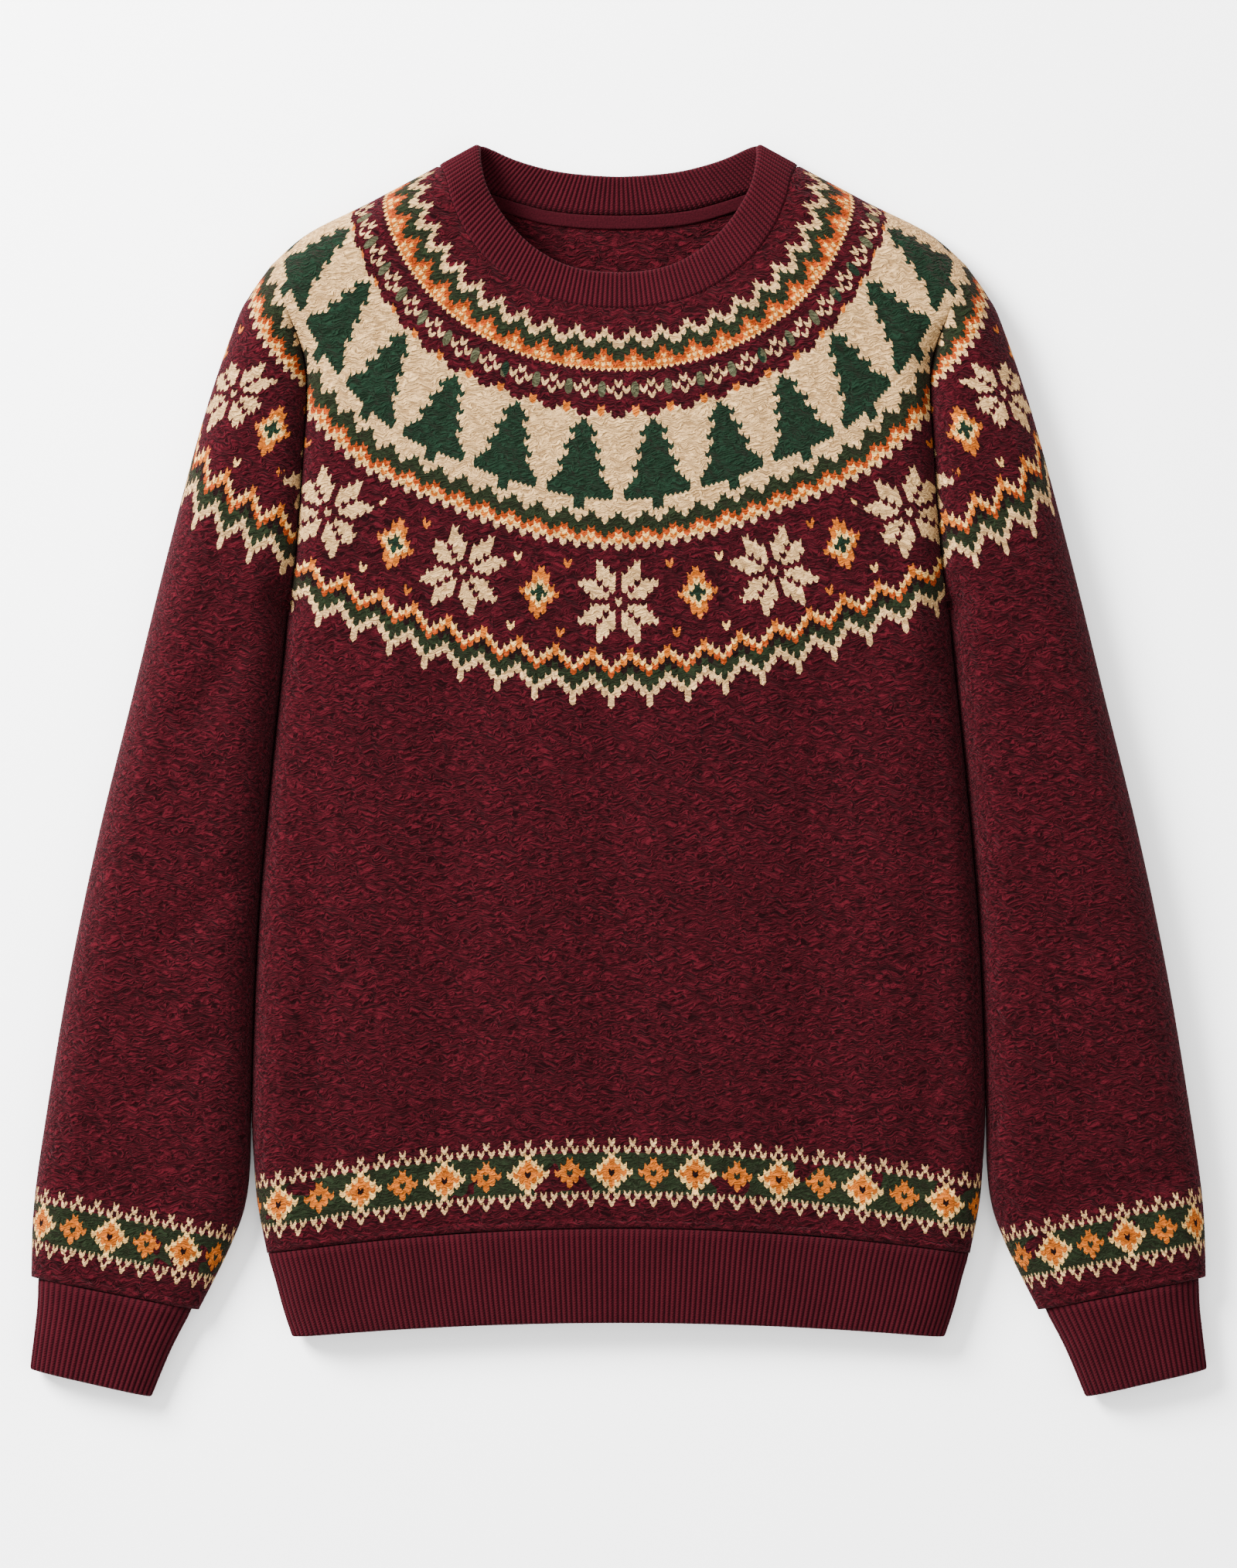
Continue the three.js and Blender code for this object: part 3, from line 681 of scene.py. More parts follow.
def build_sleeve(name, hand, material, lining):
    seam = Line([SLEEVE_OUTER[-1], SLEEVE_INNER[-1]], smooth=False)
    plan = patch(lambda u: armhole.at(1 - np.asarray(u)), seam.at, sleeve_outer.at,
                 sleeve_inner.at)
    base = ring_surface(plan, plan, SLEEVE_FOLDS)

    def surface(w, v):
        points = base(w, v)
        from_seam = distance_to_stretch(points[..., :2], *SLEEVE_OUTER[-1], *SLEEVE_INNER[-1])
        share, in_front = split_ring(w)
        open_share = roll(np.minimum(share, 1 - share) * seam.length, 8) * in_front
        points[..., 2] += ridge(from_seam) * open_share
        return points

    rows = even_shares(lambda v: surface(np.full_like(v, 0.25), v), STEP)
    columns = even_shares(lambda w: surface(w, np.full_like(w, 0.4)), STEP)
    near_seam = 1 - np.linspace(0, 8 / sleeve_outer.length, 9)[::-1]
    rows = np.concatenate([rows[rows < near_seam[0] - 0.001], near_seam])
    middle = plan(np.full(2, 0.5), np.array([0.0, 1.0]))

    def place(w, v):
        points = surface(w, v)
        at = points[:, :2]
        share, in_front = split_ring(w)
        inside = plan(np.full_like(v, 0.5), v)
        flat = np.empty_like(at)
        for layer, chosen in ((1, in_front), (-1, ~in_front)):
            flat[chosen] = unrolled(at[chosen], SLEEVE_FOLDS, layer, inside[chosen])
        rise = (SLEEVE_RISE * smooth_step(-at[:, 1], -250, -190)
                * np.exp(-(nearest([armhole, side], at)[0] / SLEEVE_RISE_REACH) ** 2))
        risen = flat - np.stack([np.zeros_like(rise), rise], axis=-1)
        yoke, from_centre = (
            np.where(in_front[:, None], front, back)
            for front, back in zip(yoke_map(risen, SLEEVE_FOLDS, 1),
                                   yoke_map(risen, SLEEVE_FOLDS, -1)))
        up = middle[0] - middle[1]
        up = up / np.linalg.norm(up)
        from_middle = flat - middle[1]
        band_x = from_middle @ np.array([up[1], -up[0]])
        band_x = np.where(in_front, band_x, -band_x) / STITCH * CUFF_BAND_SCALE
        band_y = distance_to_stretch(at, *SLEEVE_OUTER[-1], *SLEEVE_INNER[-1]) / STITCH
        yoke[:, 0] *= hand
        points = points * (hand, 1, 1)
        return points, {"yoke": yoke, "motif": from_centre,
                        "band": np.stack([band_x - CUFF_BAND_SHIFT, band_y], axis=-1)}

    mesh = cloth_mesh(name, columns, rows, place)
    flip_if(mesh, hand < 0)
    piece = add_object(name, mesh, material, "fleecy_knit")
    add_wall(piece, WALL, lining)
    return piece


def rib_profile(length):
    """The cut of a doubled rib: shares down its length, and depths below its face."""
    radius = RIB_WALL / 2
    turn = np.linspace(0, math.pi, 7)
    down = np.concatenate([
        np.linspace(0, 1 - radius / length, 12),
        (1 - radius / length) + radius / length * np.sin(turn[1:-1]),
        np.linspace(1 - radius / length, 0, 7),
    ])
    depth = np.concatenate([
        np.zeros(12), radius * (1 - np.cos(turn[1:-1])), np.full(7, RIB_WALL)])
    return np.append(down, 0.0), np.append(depth, 0.0)


def band_normals(surface, w, s):
    """Unit normals of a band, all on one side of it."""
    du, ds = 0.0015, 0.02
    across = surface(w + du, s) - surface(w - du, s)
    along = surface(w, np.minimum(1, s + ds)) - surface(w, np.maximum(0, s - ds))
    normal = np.cross(along, across)
    return normal / np.linalg.norm(normal, axis=-1)[..., None]


def build_rib(name, surface, length, crowns, material, hand=1):
    """A doubled rib band. crowns(w) counts the ribs round it from its fold."""
    down, depth = rib_profile(length)
    steps = round(RIB_STEPS * crowns(1.0))
    columns = np.linspace(0, 1, steps + 1)
    rows = np.linspace(0, 1, len(down))
    even = even_shares(lambda w: surface(w, np.full_like(w, 0.5)), 1.0)
    round_share = np.linspace(0, 1, len(even))
    front_middle = band_normals(surface, np.array([0.25]), np.array([0.5]))[0]
    outward = np.sign(front_middle[2])

    def place(u, v):
        row = v * (len(down) - 1)
        s = np.interp(row, np.arange(len(down)), down)
        below = np.interp(row, np.arange(len(down)), depth)
        w = np.interp(u, round_share, even)
        normal = outward * band_normals(surface, w, s)
        phase = crowns(u)
        crown = np.abs(np.sin(math.pi * phase)) ** 1.6
        face = 1 - below / RIB_WALL
        lift = RIB_HEIGHT * (crown - 0.35) * np.where(face > 0.5, 1.0, -1.0)
        lift *= smooth_step(s, 0.0, 0.06)
        points = surface(w, s) + normal * (lift - below)[:, None]
        points *= (hand, 1, 1)
        return points, {"rib": np.stack([phase, s * length / STITCH], axis=-1)}

    mesh = cloth_mesh(name, columns, rows, place)
    bm = bmesh.new()
    bm.from_mesh(mesh)
    bmesh.ops.recalc_face_normals(bm, faces=bm.faces)
    bm.to_mesh(mesh)
    bm.free()
    return add_object(name, mesh, material, "rib_knit")


def build_hem(material):
    half_width = HEM_SIDE[0][0]
    last_x, last_y = HEM_SIDE[-1]

    def top(u):
        return hem_seam(half_width * (2 * np.asarray(u) - 1)) - (0, SEAM_GAP)

    def end(u):
        x = last_x * (2 * np.asarray(u, float) - 1)
        return np.stack([x, HEM_END_Y - (HEM_END_Y - last_y) * (x / last_x) ** 2], axis=-1)

    plan = patch(top, end, lambda v: mirrored(hem_side.at(v)), hem_side.at)
    surface = ring_surface(plan, plan, [hem_side])
    return build_rib("hem_rib", surface, HEM_SEAM_Y - HEM_END_Y,
                     lambda u: 2 * HEM_RIBS * u, material)


def build_cuff(name, hand, material):
    top = Line([CUFF_OUTER[0], CUFF_INNER[0]], smooth=False)
    end = Line([CUFF_OUTER[-1], CUFF_INNER[-1]], smooth=False)
    plan = patch(top.at, end.at, cuff_outer.at, cuff_inner.at)
    surface = ring_surface(plan, plan, CUFF_FOLDS)
    return build_rib(name, surface, cuff_outer.length, lambda u: 2 * CUFF_RIBS * u, material,
                     hand)


def build_collar(material):
    top = np.array([0.0, NECK_FOLD[1][1]])

    def seam_half(line):
        def at(share):
            point = line.at(share)
            inward = top - point
            length = np.linalg.norm(inward, axis=-1)[..., None]
            return point + inward / np.maximum(length, 1) * SEAM_GAP
        return at

    start = seam_half(neck_seam_front)(0.0)
    end = neck_fold.at(1.0)

    def fold(v):
        v = np.asarray(v)[..., None]
        return (1 - v) * start + v * end

    plans = [patch(whole(seam_half(seam)), whole(edge.at), lambda v: mirrored(fold(v)), fold)
             for seam, edge in ((neck_seam_front, neck_edge_front),
                                (neck_seam_back, neck_edge_back))]
    surface = ring_surface(*plans, COLLAR_FOLDS)
    return build_rib("collar_rib", surface, COLLAR_WIDTH,
                     lambda u: (COLLAR_FRONT_RIBS + COLLAR_BACK_RIBS) * u, material)


TAPE_WIDTH = 7.5
TAPE_HALF_LENGTH = 72.0
TAPE_THICKNESS = 1.2
TAPE_LIFT = 3.3


def build_neck_tape(material):
    share = np.linspace(0, 1, 400)
    seam = neck_seam_back.at(share)[::-1]

    def place(u, v):
        x = TAPE_HALF_LENGTH * (2 * u - 1)
        y = np.interp(np.abs(x), seam[:, 0], seam[:, 1]) - 0.6 - TAPE_WIDTH * (1 - v)
        edge = 0.35 * (2 * v - 1) ** 8
        z = TAPE_LIFT + TAPE_THICKNESS - edge
        return np.stack([x, y, z], axis=-1), {"rib": np.stack([x, y], axis=-1)}

    mesh = cloth_mesh("neck_tape_strip", np.linspace(0, 1, 97), np.linspace(0, 1, 13), place)
    piece = add_object("neck_tape_strip", mesh, material, "neck_tape")
    add_wall(piece, TAPE_THICKNESS * 0.9)
    return piece


class Wire:
    """A number inside a material, so that a sum of nodes reads as a sum."""

    def __init__(self, recipe, socket):
        self.recipe = recipe
        self.socket = socket

    def math(self, operation, *others):
        return self.recipe.math(operation, self, *others)

    def __add__(self, other): return self.math("ADD", other)
    def __sub__(self, other): return self.math("SUBTRACT", other)
    def __mul__(self, other): return self.math("MULTIPLY", other)
    def __truediv__(self, other): return self.math("DIVIDE", other)
    def __lt__(self, other): return self.math("LESS_THAN", other)
    def __gt__(self, other): return self.math("GREATER_THAN", other)
    def __rsub__(self, other): return self.recipe.math("SUBTRACT", other, self)
    def __abs__(self): return self.math("ABSOLUTE")
    def __round__(self): return self.math("ROUND")
    __radd__ = __add__
    __rmul__ = __mul__
    def floor(self): return self.math("FLOOR")
    def fraction(self): return self.math("FRACT")
    def most(self, other): return self.math("MAXIMUM", other)
    def power(self, other): return self.math("POWER", other)

    def between(self, low, high):
        return (self > low) * (self < high)

    def ramp(self, start, end, low=0.0, high=1.0):
        """low at start and high at end, straight between and level outside."""
        made = self.recipe.node("ShaderNodeMapRange", {"clamp": True}, {
            "Value": self, "From Min": start, "From Max": end, "To Min": low, "To Max": high})
        return Wire(self.recipe, made.outputs["Result"])


class Recipe:
    """A material under construction."""

    def __init__(self, name):
        self.material = bpy.data.materials.new(name)
        self.material.use_nodes = True
        self.tree = self.material.node_tree
        self.tree.nodes.clear()

    def node(self, kind, settings=None, feeds=None):
        made = self.tree.nodes.new(kind)
        for name, value in (settings or {}).items():
            setattr(made, name, value)
        for name, value in (feeds or {}).items():
            socket = made.inputs[name]
            if isinstance(value, Wire):
                self.tree.links.new(value.socket, socket)
            elif isinstance(value, bpy.types.NodeSocket):
                self.tree.links.new(value, socket)
            else:
                socket.default_value = value
        return made

    def math(self, operation, *values):
        made = self.node("ShaderNodeMath", {"operation": operation},
                         dict(enumerate(values)))
        return Wire(self, made.outputs[0])

    def mix(self, share, first, second, blend="MIX"):
        made = self.node("ShaderNodeMix", {"data_type": "RGBA", "blend_type": blend},
                         {0: share, 6: first, 7: second})
        return made.outputs[2]

    def noise(self, where, scale, detail=2.0, roughness=0.5):
        made = self.node("ShaderNodeTexNoise", {}, {
            "Vector": where, "Scale": scale, "Detail": detail, "Roughness": roughness})
        return Wire(self, made.outputs["Factor" if "Factor" in made.outputs else "Fac"])

    def uv(self, name):
        made = self.node("ShaderNodeUVMap", {"uv_map": name})
        split = self.node("ShaderNodeSeparateXYZ", {}, {"Vector": made.outputs["UV"]})
        return Wire(self, split.outputs["X"]), Wire(self, split.outputs["Y"])

    def position(self):
        return self.node("ShaderNodeTexCoord").outputs["Object"]

    def moved(self, where, turn=(0, 0, 0), scale=(1, 1, 1)):
        made = self.node("ShaderNodeMapping", {"vector_type": "POINT"}, {
            "Vector": where, "Rotation": turn, "Scale": scale})
        return made.outputs["Vector"]

    def finish(self, base_colour, height, bump_depth):
        """Matt woollen cloth. bump_depth is in metres."""
        bump = self.node("ShaderNodeBump", {}, {
            "Strength": 1.0, "Distance": bump_depth, "Height": height})
        cloth = self.node("ShaderNodeBsdfPrincipled", {}, {
            "Base Color": base_colour, "Roughness": CLOTH_ROUGHNESS,
            "Specular IOR Level": CLOTH_SHINE, "Sheen Weight": SHEEN,
            "Sheen Roughness": SHEEN_ROUGHNESS, "Sheen Tint": SHEEN_TINT,
            "Normal": bump.outputs["Normal"]})
        self.node("ShaderNodeOutputMaterial", {}, {"Surface": cloth.outputs["BSDF"]})
        return self.material


def colour(red, green, blue):
    """A colour given in the screen's numbers, 0 to 255."""
    values = [value / 255 for value in (red, green, blue)]
    return (*[v / 12.92 if v <= 0.04045 else ((v + 0.055) / 1.055) ** 2.4 for v in values], 1)


BURGUNDY = colour(50, 7, 14)
# Painted shade: the burgundy shown in the hollows between the pile's loops.
BURGUNDY_HOLLOW_SHADE = colour(22, 2, 5)
CREAM = colour(162, 130, 88)
PINE = colour(13, 29, 19)
MOSS = colour(20, 27, 15)
SAGE = colour(56, 58, 42)
RUST = colour(122, 46, 12)
AMBER = colour(144, 74, 18)
STRAW = colour(184, 144, 82)
BARK = colour(16, 6, 6)
RIB_RED = colour(44, 7, 13)
# Painted shade in the valleys between the ribs, and the darker flecks of the fuzz.
RIB_RED_SHADE_AND_FLECK = colour(12, 1, 3)

# How the cloth takes the light
CLOTH_ROUGHNESS = 0.95
CLOTH_SHINE = 0.03
SHEEN = 0.06
SHEEN_ROUGHNESS = 0.45
SHEEN_TINT = colour(190, 120, 130)
PILE_HOLLOW_SHADE = (0.46, 0.42, 0.38, 1)  # painted shade: share of a yarn's colour left in the hollows between the loops
# Painted highlight: the yarn's colour made lighter on the tips of the loops.
PILE_TIP_HIGHLIGHT = (1.12, 1.12, 1.12, 1)
FLEECE_BUMP = 0.0012
RIB_BUMP = 0.0007
TAPE_BUMP = 0.0003
WAVE_ALONG, WAVE_ACROSS = 2.0, 9.0  # how far the strokes of the pile wander


class Chart:
    """Colours laid over one another in the order that they are knitted in."""

    def __init__(self, recipe, ground):
        self.recipe = recipe
        self.colour = ground

    def knit(self, where, yarn):
        self.colour = self.recipe.mix(where, self.colour, yarn)


def repeats(turns, count, stitches, offset=0.5):
    """One repeat of a motif. Gives the stitch column from its middle, and how far down the
    yarn hangs there. A motif's middle is where turns * count + offset is a half."""
    across = ((turns * count + offset).fraction() - 0.5) * stitches
    column = round(across)
    hang = 1 - 2 * abs(across - column)
    return abs(column), hang * HANG, across


# Rings of the yoke, in millimetres from its centre down the middle of the front
ZIGZAG_TOP = 89.7
CHAIN_TOP = 101.5
CROSS_ROW = 124.7
GROUND_TOP = 133.3
TREE_TOP = 141.0
GROUND_END = 198.2
EMBER_TOP = 205.5
EMBER_END = 209.6
LOWER_TOP = 267.9

# How often each ring repeats, if it went right round
INNER_REPEATS = 56
TREES = 29
SCALLOPS = 87
LOWER_REPEATS = 72
LOWER_OFFSET = 0.19
TREE_HALF_WIDTHS = [0, 1, 2, 1, 2, 3, 2, 3, 4, 3, 4, 5, 6, 6]
TREE_SPREAD = 1.2  # a tree's stitches are this much narrower than the ground's
STAR_STITCH = 1.1


def rows_below(radius, ring, hang):
    return radius - ring / STITCH - hang


def stitch_legs(across, up, size=1.0):
    """The two legs of one stitch, as a V round its middle."""
    legs = abs(up - abs(across) * 1.7 + 0.55 * size) < 0.52 * size
    return legs * (abs(across) < 0.62 * size) * (abs(up) < 0.75 * size)


def knit_yoke(chart, turn, radius, patchy):
    # Cream zigzag, moss below it and the amber chain
    column, hang, across = repeats(turn, INNER_REPEATS, 5, offset=0.0)
    zigzag = rows_below(radius, ZIGZAG_TOP, hang) - column
    chain = rows_below(radius, CHAIN_TOP, hang) - column
    chain_end = rows_below(radius, CHAIN_TOP, hang)
    chart.knit((zigzag > 0) * (chain < 0), MOSS)
    chart.knit(zigzag.between(0, 1.45), CREAM)
    chained = (chain > 0) * (chain_end < 3.7)
    chart.knit(chained, AMBER)
    chart.knit(chained * (chain < 1), RUST)
    heart = 1 - (abs(across - round(across)) * 2).power(2)
    seed = heart * (1 - (abs(chain_end.fraction() - 0.5) * 2).power(2))
    chart.knit(chained * (seed > 0.55) * (chain > 1), STRAW)

    # Crosses and sage leaves
    _, _, across = repeats(turn, INNER_REPEATS, 5)
    up = CROSS_ROW / STITCH - radius
    for sideways, upward in ((0, 1.05), (0, -1.05), (1.2, 0)):
        chart.knit(stitch_legs(abs(across) - sideways, up - upward, 0.95), CREAM)
    leaf = ((abs(across) - 2.5) / 0.6).power(2) + (up / 1.4).power(2) < 1
    chart.knit(leaf * (patchy > 0.42), SAGE)
    chart.knit(leaf * (patchy < 0.42), PINE)

    # Trees on a cream ground
    peak_column, peak_hang, _ = repeats(turn, INNER_REPEATS, 5, offset=0.0)
    top_edge = rows_below(radius, GROUND_TOP, peak_hang) - peak_column
    scallop, scallop_hang, _ = repeats(turn, SCALLOPS, 4, offset=0.0)
    ground_end = rows_below(radius, GROUND_END, scallop_hang) + scallop
    ground = (top_edge > 0) * (ground_end < 0)
    ember_top = rows_below(radius, EMBER_TOP, scallop_hang) + scallop * 0.7
    chart.knit((ground_end > 0) * (ember_top < 0), MOSS)
    chart.knit(ground, CREAM)
    chart.knit(ground * (top_edge < 1.7) * (peak_column < 0.5), AMBER)

    round_length = radius * (2 * math.pi * TREE_SPREAD / TREES)
    column, hang, across = repeats(turn, TREES, round_length, offset=0.0)
    row = rows_below(radius, TREE_TOP, hang).floor()
    tree = row.between(13.5, 15.5) * (abs(across) < 1.1)
    for number, half_width in enumerate(TREE_HALF_WIDTHS):
        tree = tree + (abs(row - number) < 0.5) * (column < half_width + 0.5)
    chart.knit(tree, PINE)

    # Ember band with cream teeth
    ember_end = rows_below(radius, EMBER_END, scallop_hang)
    ember = (ember_top > 0) * (ember_end < 0)
    chart.knit(ember, AMBER)
    chart.knit(ember * (ember_top < 1), RUST)
    even = abs((scallop + ember_end.floor()).math("MODULO", 2)) < 0.5
    chart.knit(ember * (ember_top > 0.9) * even, STRAW)
    teeth = ember_end.between(-0.2, 1.0) * (abs(scallop - 1) > 0.5)
    chart.knit(teeth, CREAM)

    # Lower zigzags
    column, hang, across = repeats(turn, LOWER_REPEATS, 6, offset=LOWER_OFFSET)
    ember = rows_below(radius, LOWER_TOP, hang) - column
    chart.knit(ember.between(1.5, 4.8), MOSS)
    chart.knit(ember.between(1.8, 3.2) * (column < 1.5), BARK)
    chart.knit(ember.between(0, 1.9), AMBER)
    chart.knit(ember.between(1.0, 1.9) * (column > 1.5), RUST)
    chart.knit(ember.between(0, 0.85) * (column > 0.5), STRAW)
    drop = 6.25 + (column > 2.5) * 1.0
    chart.knit((ember > 4.6) * (ember < drop), CREAM)


def knit_motifs(chart, right, up):
    """Eight-pointed stars, diamonds between them and single stitches round each diamond."""
    is_diamond = right > DIAMOND_SHIFT / 2
    right = right - is_diamond * DIAMOND_SHIFT
    across = right / STAR_STITCH
    column = round(across)
    hang = (1 - 2 * abs(across - column)) * HANG
    column = abs(column)
    row = abs((-1 * (up / STAR_STITCH) - hang + 0.8).floor())
    step = column - row
    upright = column.between(0.5, 3.5) * step.between(-3.5, -0.5)
    level = row.between(0.5, 3.5) * step.between(0.5, 3.5)
    star = (upright + level).most(column + row < 0.5)
    chart.knit(star * (1 - is_diamond), CREAM)

    column = round(right)
    hang = (1 - 2 * abs(right - column)) * HANG
    ring = abs(column) * 1.3 + abs((-1 * up - hang + 0.8).floor())
    chart.knit((ring < 4.6) * is_diamond, AMBER)
    chart.knit(ring.between(1.5, 2.8) * is_diamond, STRAW)
    chart.knit((ring < 1.35) * is_diamond, PINE)
    for sideways, yarn in ((-4.4, AMBER), (4.4, STRAW)):
        for upward in (-6.4, 5.8):
            chart.knit(stitch_legs(right - sideways, up - upward, 1.1) * is_diamond, yarn)


# Band above a rib, in stitches up from its seam
CROWN_ROWS = (5.4, 14.4)
DIAMOND_ROW = 9.85
BAND_START = 6.5
BAND_END = 13.0
DIAMOND_REPEAT = 14


def knit_band(chart, across_stitches, up, mottle):
    column, hang, _ = repeats(across_stitches, 1 / DIAMOND_REPEAT, DIAMOND_REPEAT)
    dark = up.between(BAND_START - 0.4, BAND_END + 0.4)
    chart.knit(dark * (mottle > 0.43), MOSS)
    row = (DIAMOND_ROW - up - hang + 0.8).floor()
    ring = column + abs(row)
    chart.knit(ring < 3.5, STRAW)
    chart.knit(ring < 2.5, AMBER)
    chart.knit(ring < 0.5, BARK)
    small, small_hang, _ = repeats(across_stitches, 1 / DIAMOND_REPEAT, DIAMOND_REPEAT,
                                   offset=0.0)
    small_row = (DIAMOND_ROW - up - small_hang + 0.8).floor()
    ring = small + abs(small_row)
    chart.knit(ring.between(0.5, 2.5), AMBER)
    _, _, across = repeats(across_stitches, 4 / DIAMOND_REPEAT, 4)
    for crown_row, facing in zip(CROWN_ROWS, (-1, 1)):
        for sideways, upward in ((0, 0.8), (1.0, -0.5)):
            middle = crown_row + facing * upward
            chart.knit(stitch_legs(abs(across) - sideways, up - middle), CREAM)


def strokes(recipe, where, bent, degrees, scale):
    """Loops of brushed yarn that lie one way, 0 to 1."""
    turned = recipe.moved(where, (0, 0, math.radians(degrees)), scale)
    shift = recipe.node("ShaderNodeVectorMath", {"operation": "ADD"}, {
        0: turned, 1: recipe.node("ShaderNodeCombineXYZ", {}, {
            "X": bent * WAVE_ALONG, "Y": bent * WAVE_ACROSS, "Z": 0.0}).outputs["Vector"]})
    return recipe.noise(shift.outputs["Vector"], 1.0, 1.0, 0.6)


def fleece(recipe, where):
    """How high the pile stands, 0 to 1: two layers of strokes that change places."""
    bent = recipe.noise(where, 150, 1.0)
    leaning = strokes(recipe, where, bent, -35, (260, 1150, 500))
    level = strokes(recipe, where, bent, 12, (240, 1050, 500))
    place = recipe.noise(where, 70, 1.0).ramp(0.42, 0.58)
    return (leaning * (1 - place) + level * place).ramp(0.34, 0.66)


def fleece_material(name, patterned):
    recipe = Recipe(name)
    where = recipe.position()
    pile = fleece(recipe, where)
    patchy = recipe.noise(where, 45, 2.0)
    # The ground turns darker where the pile is low: painted shade in the hollows between the loops.
    chart = Chart(recipe, recipe.mix(pile, BURGUNDY_HOLLOW_SHADE, BURGUNDY))
    if patterned:
        turn, radius = recipe.uv("yoke")
        band_x, band_y = recipe.uv("band")
        motif_x, motif_y = recipe.uv("motif")
        fuzz_a = recipe.noise(where, 900, 1.0) - 0.5
        fuzz_b = recipe.noise(recipe.moved(where, (0.6, 0.4, 0.9)), 950, 1.0) - 0.5
        knit_yoke(chart, turn + fuzz_b * 0.0006, radius + fuzz_a * 0.5, patchy)
        knit_motifs(chart, motif_x + fuzz_b * 0.5, motif_y + fuzz_a * 0.5)
        knit_band(chart, band_x + fuzz_a * 0.4, band_y + fuzz_b * 0.5, patchy)
    # Painted shade in the hollows between the loops and painted highlight on their tips.
    shade = recipe.mix(pile, PILE_HOLLOW_SHADE, PILE_TIP_HIGHLIGHT)
    base_colour = recipe.mix(1.0, chart.colour, shade, "MULTIPLY")
    uneven = recipe.mix(patchy.ramp(0.3, 0.7), (0.93, 0.93, 0.93, 1), (1.06, 1.06, 1.06, 1))
    base_colour = recipe.mix(1.0, base_colour, uneven, "MULTIPLY")
    fine = recipe.noise(where, 1600, 2.0)
    height = pile * 0.8 + fine * 0.3
    return recipe.finish(base_colour, height, FLEECE_BUMP)


def rib_material():
    recipe = Recipe("rib knit")
    where = recipe.position()
    count, down = recipe.uv("rib")
    crown = abs((count * math.pi).math("SINE"))
    loops = abs((down * 2.2 + abs(count.fraction() - 0.5) * 1.2).fraction() - 0.5) * 2
    fuzz = recipe.noise(where, 1100, 2.0)
    patchy = recipe.noise(where, 60, 2.0)
    # Painted light: the crowns of the ribs lighter and the valleys between them darker, mixed with random fuzz.
    lit = (crown * 0.75 + fuzz * 0.5).ramp(0.25, 1.0)
    base_colour = recipe.mix(lit, RIB_RED_SHADE_AND_FLECK, RIB_RED)
    uneven = recipe.mix(patchy.ramp(0.3, 0.7), (0.9, 0.9, 0.9, 1), (1.08, 1.08, 1.08, 1))
    base_colour = recipe.mix(1.0, base_colour, uneven, "MULTIPLY")
    height = loops * 0.35 + fuzz * 0.6
    return recipe.finish(base_colour, height, RIB_BUMP)


def tape_material():
    recipe = Recipe("neck tape")
    where = recipe.position()
    fuzz = recipe.noise(where, 900, 2.0)
    base_colour = recipe.mix(fuzz, RIB_RED_SHADE_AND_FLECK, RIB_RED)
    return recipe.finish(base_colour, fuzz, TAPE_BUMP)


FLOOR_WHITE = (0.93, 0.93, 0.93, 1)
FLOOR_SIZE = 3.0


def surface_material():
    recipe = Recipe("pale surface")
    cloth = recipe.node("ShaderNodeBsdfPrincipled", {}, {
        "Base Color": FLOOR_WHITE, "Roughness": 0.9, "Specular IOR Level": 0.1})
    recipe.node("ShaderNodeOutputMaterial", {}, {"Surface": cloth.outputs["BSDF"]})
    return recipe.material


fleece_knit = fleece_material("fleecy knit", patterned=True)
plain_fleece = fleece_material("plain fleece", patterned=False)
rib_knit = rib_material()

front_panel = build_body_panel("front_panel_knit", 1, neck_seam_front, fleece_knit,
                               plain_fleece)
back_panel = build_body_panel("back_panel_knit", -1, neck_seam_back, fleece_knit, plain_fleece)
sleeves = {name: build_sleeve(f"{name}_knit", hand, fleece_knit, plain_fleece)
           for name, hand in (("sleeve_left", 1), ("sleeve_right", -1))}
hem = build_hem(rib_knit)
cuffs = {name: build_cuff(f"{name}_rib", hand, rib_knit)
         for name, hand in (("cuff_left", 1), ("cuff_right", -1))}
collar = build_collar(rib_knit)
tape = build_neck_tape(tape_material())

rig.replaces(front_panel, "front_panel")
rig.replaces(back_panel, "back_panel")
for name, piece in {**sleeves, **cuffs}.items():
    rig.replaces(piece, name)
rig.replaces(hem, "hem_band")
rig.replaces(collar, "collar")
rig.replaces(tape, "neck_tape")

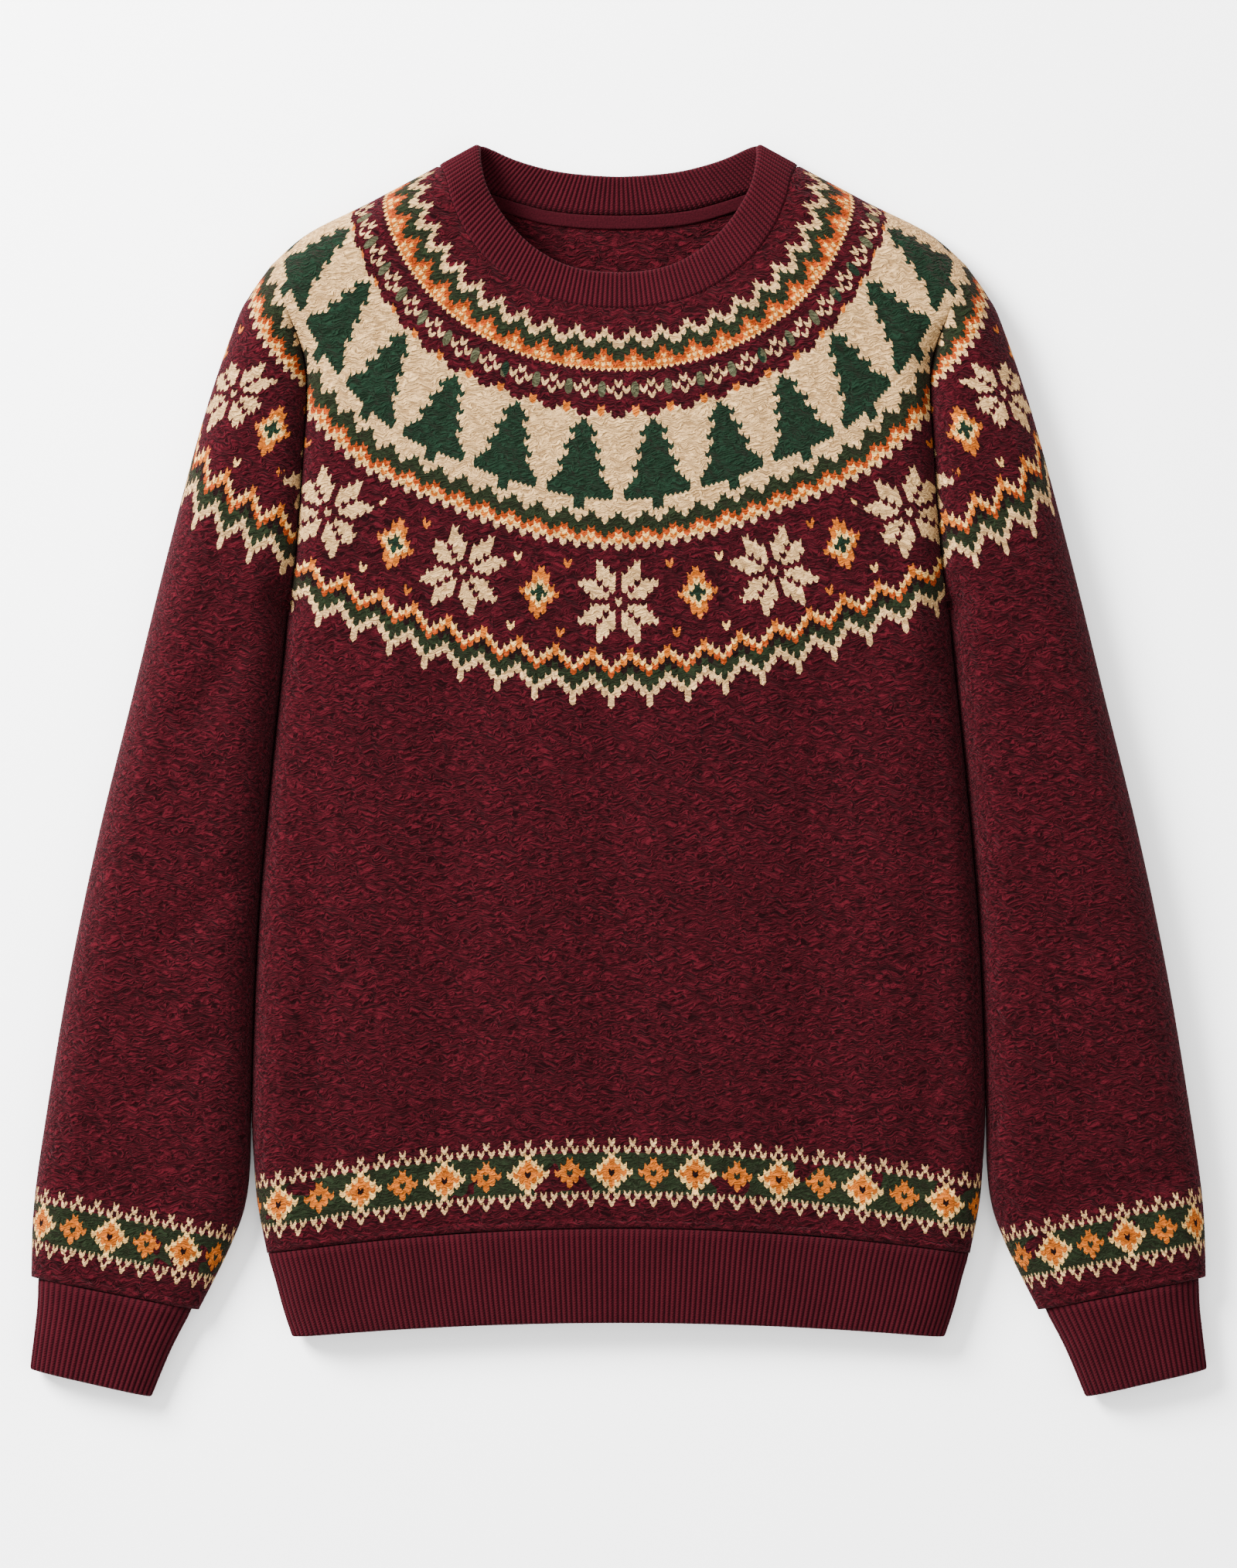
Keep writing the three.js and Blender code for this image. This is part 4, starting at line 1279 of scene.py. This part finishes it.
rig.sheet(front_panel, flat=(0.43, 0.64), held="laid", rests_on=[back_panel], area=0.22)
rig.sheet(back_panel, flat=(0.43, 0.64), held="laid", area=0.22)
for piece in sleeves.values():
    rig.sheet(piece, flat=(0.36, 0.60), held="laid", area=0.106)
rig.sheet(hem, flat=(0.80, 0.055), held="laid", area=0.041)
for piece in cuffs.values():
    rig.sheet(piece, flat=(0.17, 0.052), held="laid", area=0.008)
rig.sheet(collar, flat=(0.48, 0.022), held="laid", rests_on=[back_panel], area=0.0105)
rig.sheet(tape, flat=(0.15, 0.01), held="laid", rests_on=[back_panel], area=0.0011)


def add_floor():
    bm = bmesh.new()
    bmesh.ops.create_grid(bm, x_segments=1, y_segments=1, size=FLOOR_SIZE)
    mesh = bpy.data.meshes.new("floor")
    bm.to_mesh(mesh)
    bm.free()
    floor = bpy.data.objects.new("floor", mesh)
    bpy.context.scene.collection.objects.link(floor)
    mesh.materials.append(surface_material())
    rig.stage(floor)


def add_light(name, place, size, power):
    lamp = bpy.data.lights.new(name, "AREA")
    lamp.size = size
    lamp.energy = power
    light = bpy.data.objects.new(name, lamp)
    light.location = place
    light.rotation_euler = (Vector((0, 0, 0)) - Vector(place)).to_track_quat("-Z", "Y").to_euler()
    bpy.context.scene.collection.objects.link(light)


CAMERA_HEIGHT = 4.0
VIEW_HEIGHT = 0.872  # what the frame's long side takes in
VIEW_CENTRE = (0.0, -0.0075)


def add_camera():
    lens = bpy.data.cameras.new("camera")
    lens.sensor_width = 36
    lens.sensor_fit = "AUTO"
    lens.lens = 36 * CAMERA_HEIGHT / VIEW_HEIGHT
    camera = bpy.data.objects.new("camera", lens)
    camera.location = (*VIEW_CENTRE, CAMERA_HEIGHT + 0.02)
    bpy.context.scene.collection.objects.link(camera)
    bpy.context.scene.camera = camera


# Columns: name, place, size, power.
LIGHTS = [
    ["window", (-1.8, 1.4, 1.5), 1.2, 520],
    ["fill", (1.6, -1.0, 2.4), 2.5, 36],
]
ROOM_LIGHT = 2.1

add_floor()
for name, place, size, power in LIGHTS:
    add_light(name, place, size, power)
world = bpy.data.worlds.new("room")
world.use_nodes = True
world.node_tree.nodes["Background"].inputs["Color"].default_value = (1, 1, 1, 1)
world.node_tree.nodes["Background"].inputs["Strength"].default_value = ROOM_LIGHT
bpy.context.scene.world = world
add_camera()

with open("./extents.json", "w") as out:
    json.dump({"cad": [list(corner) for corner in CAD_BOX],
               "visual": [list(corner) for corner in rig.bounds()]}, out)
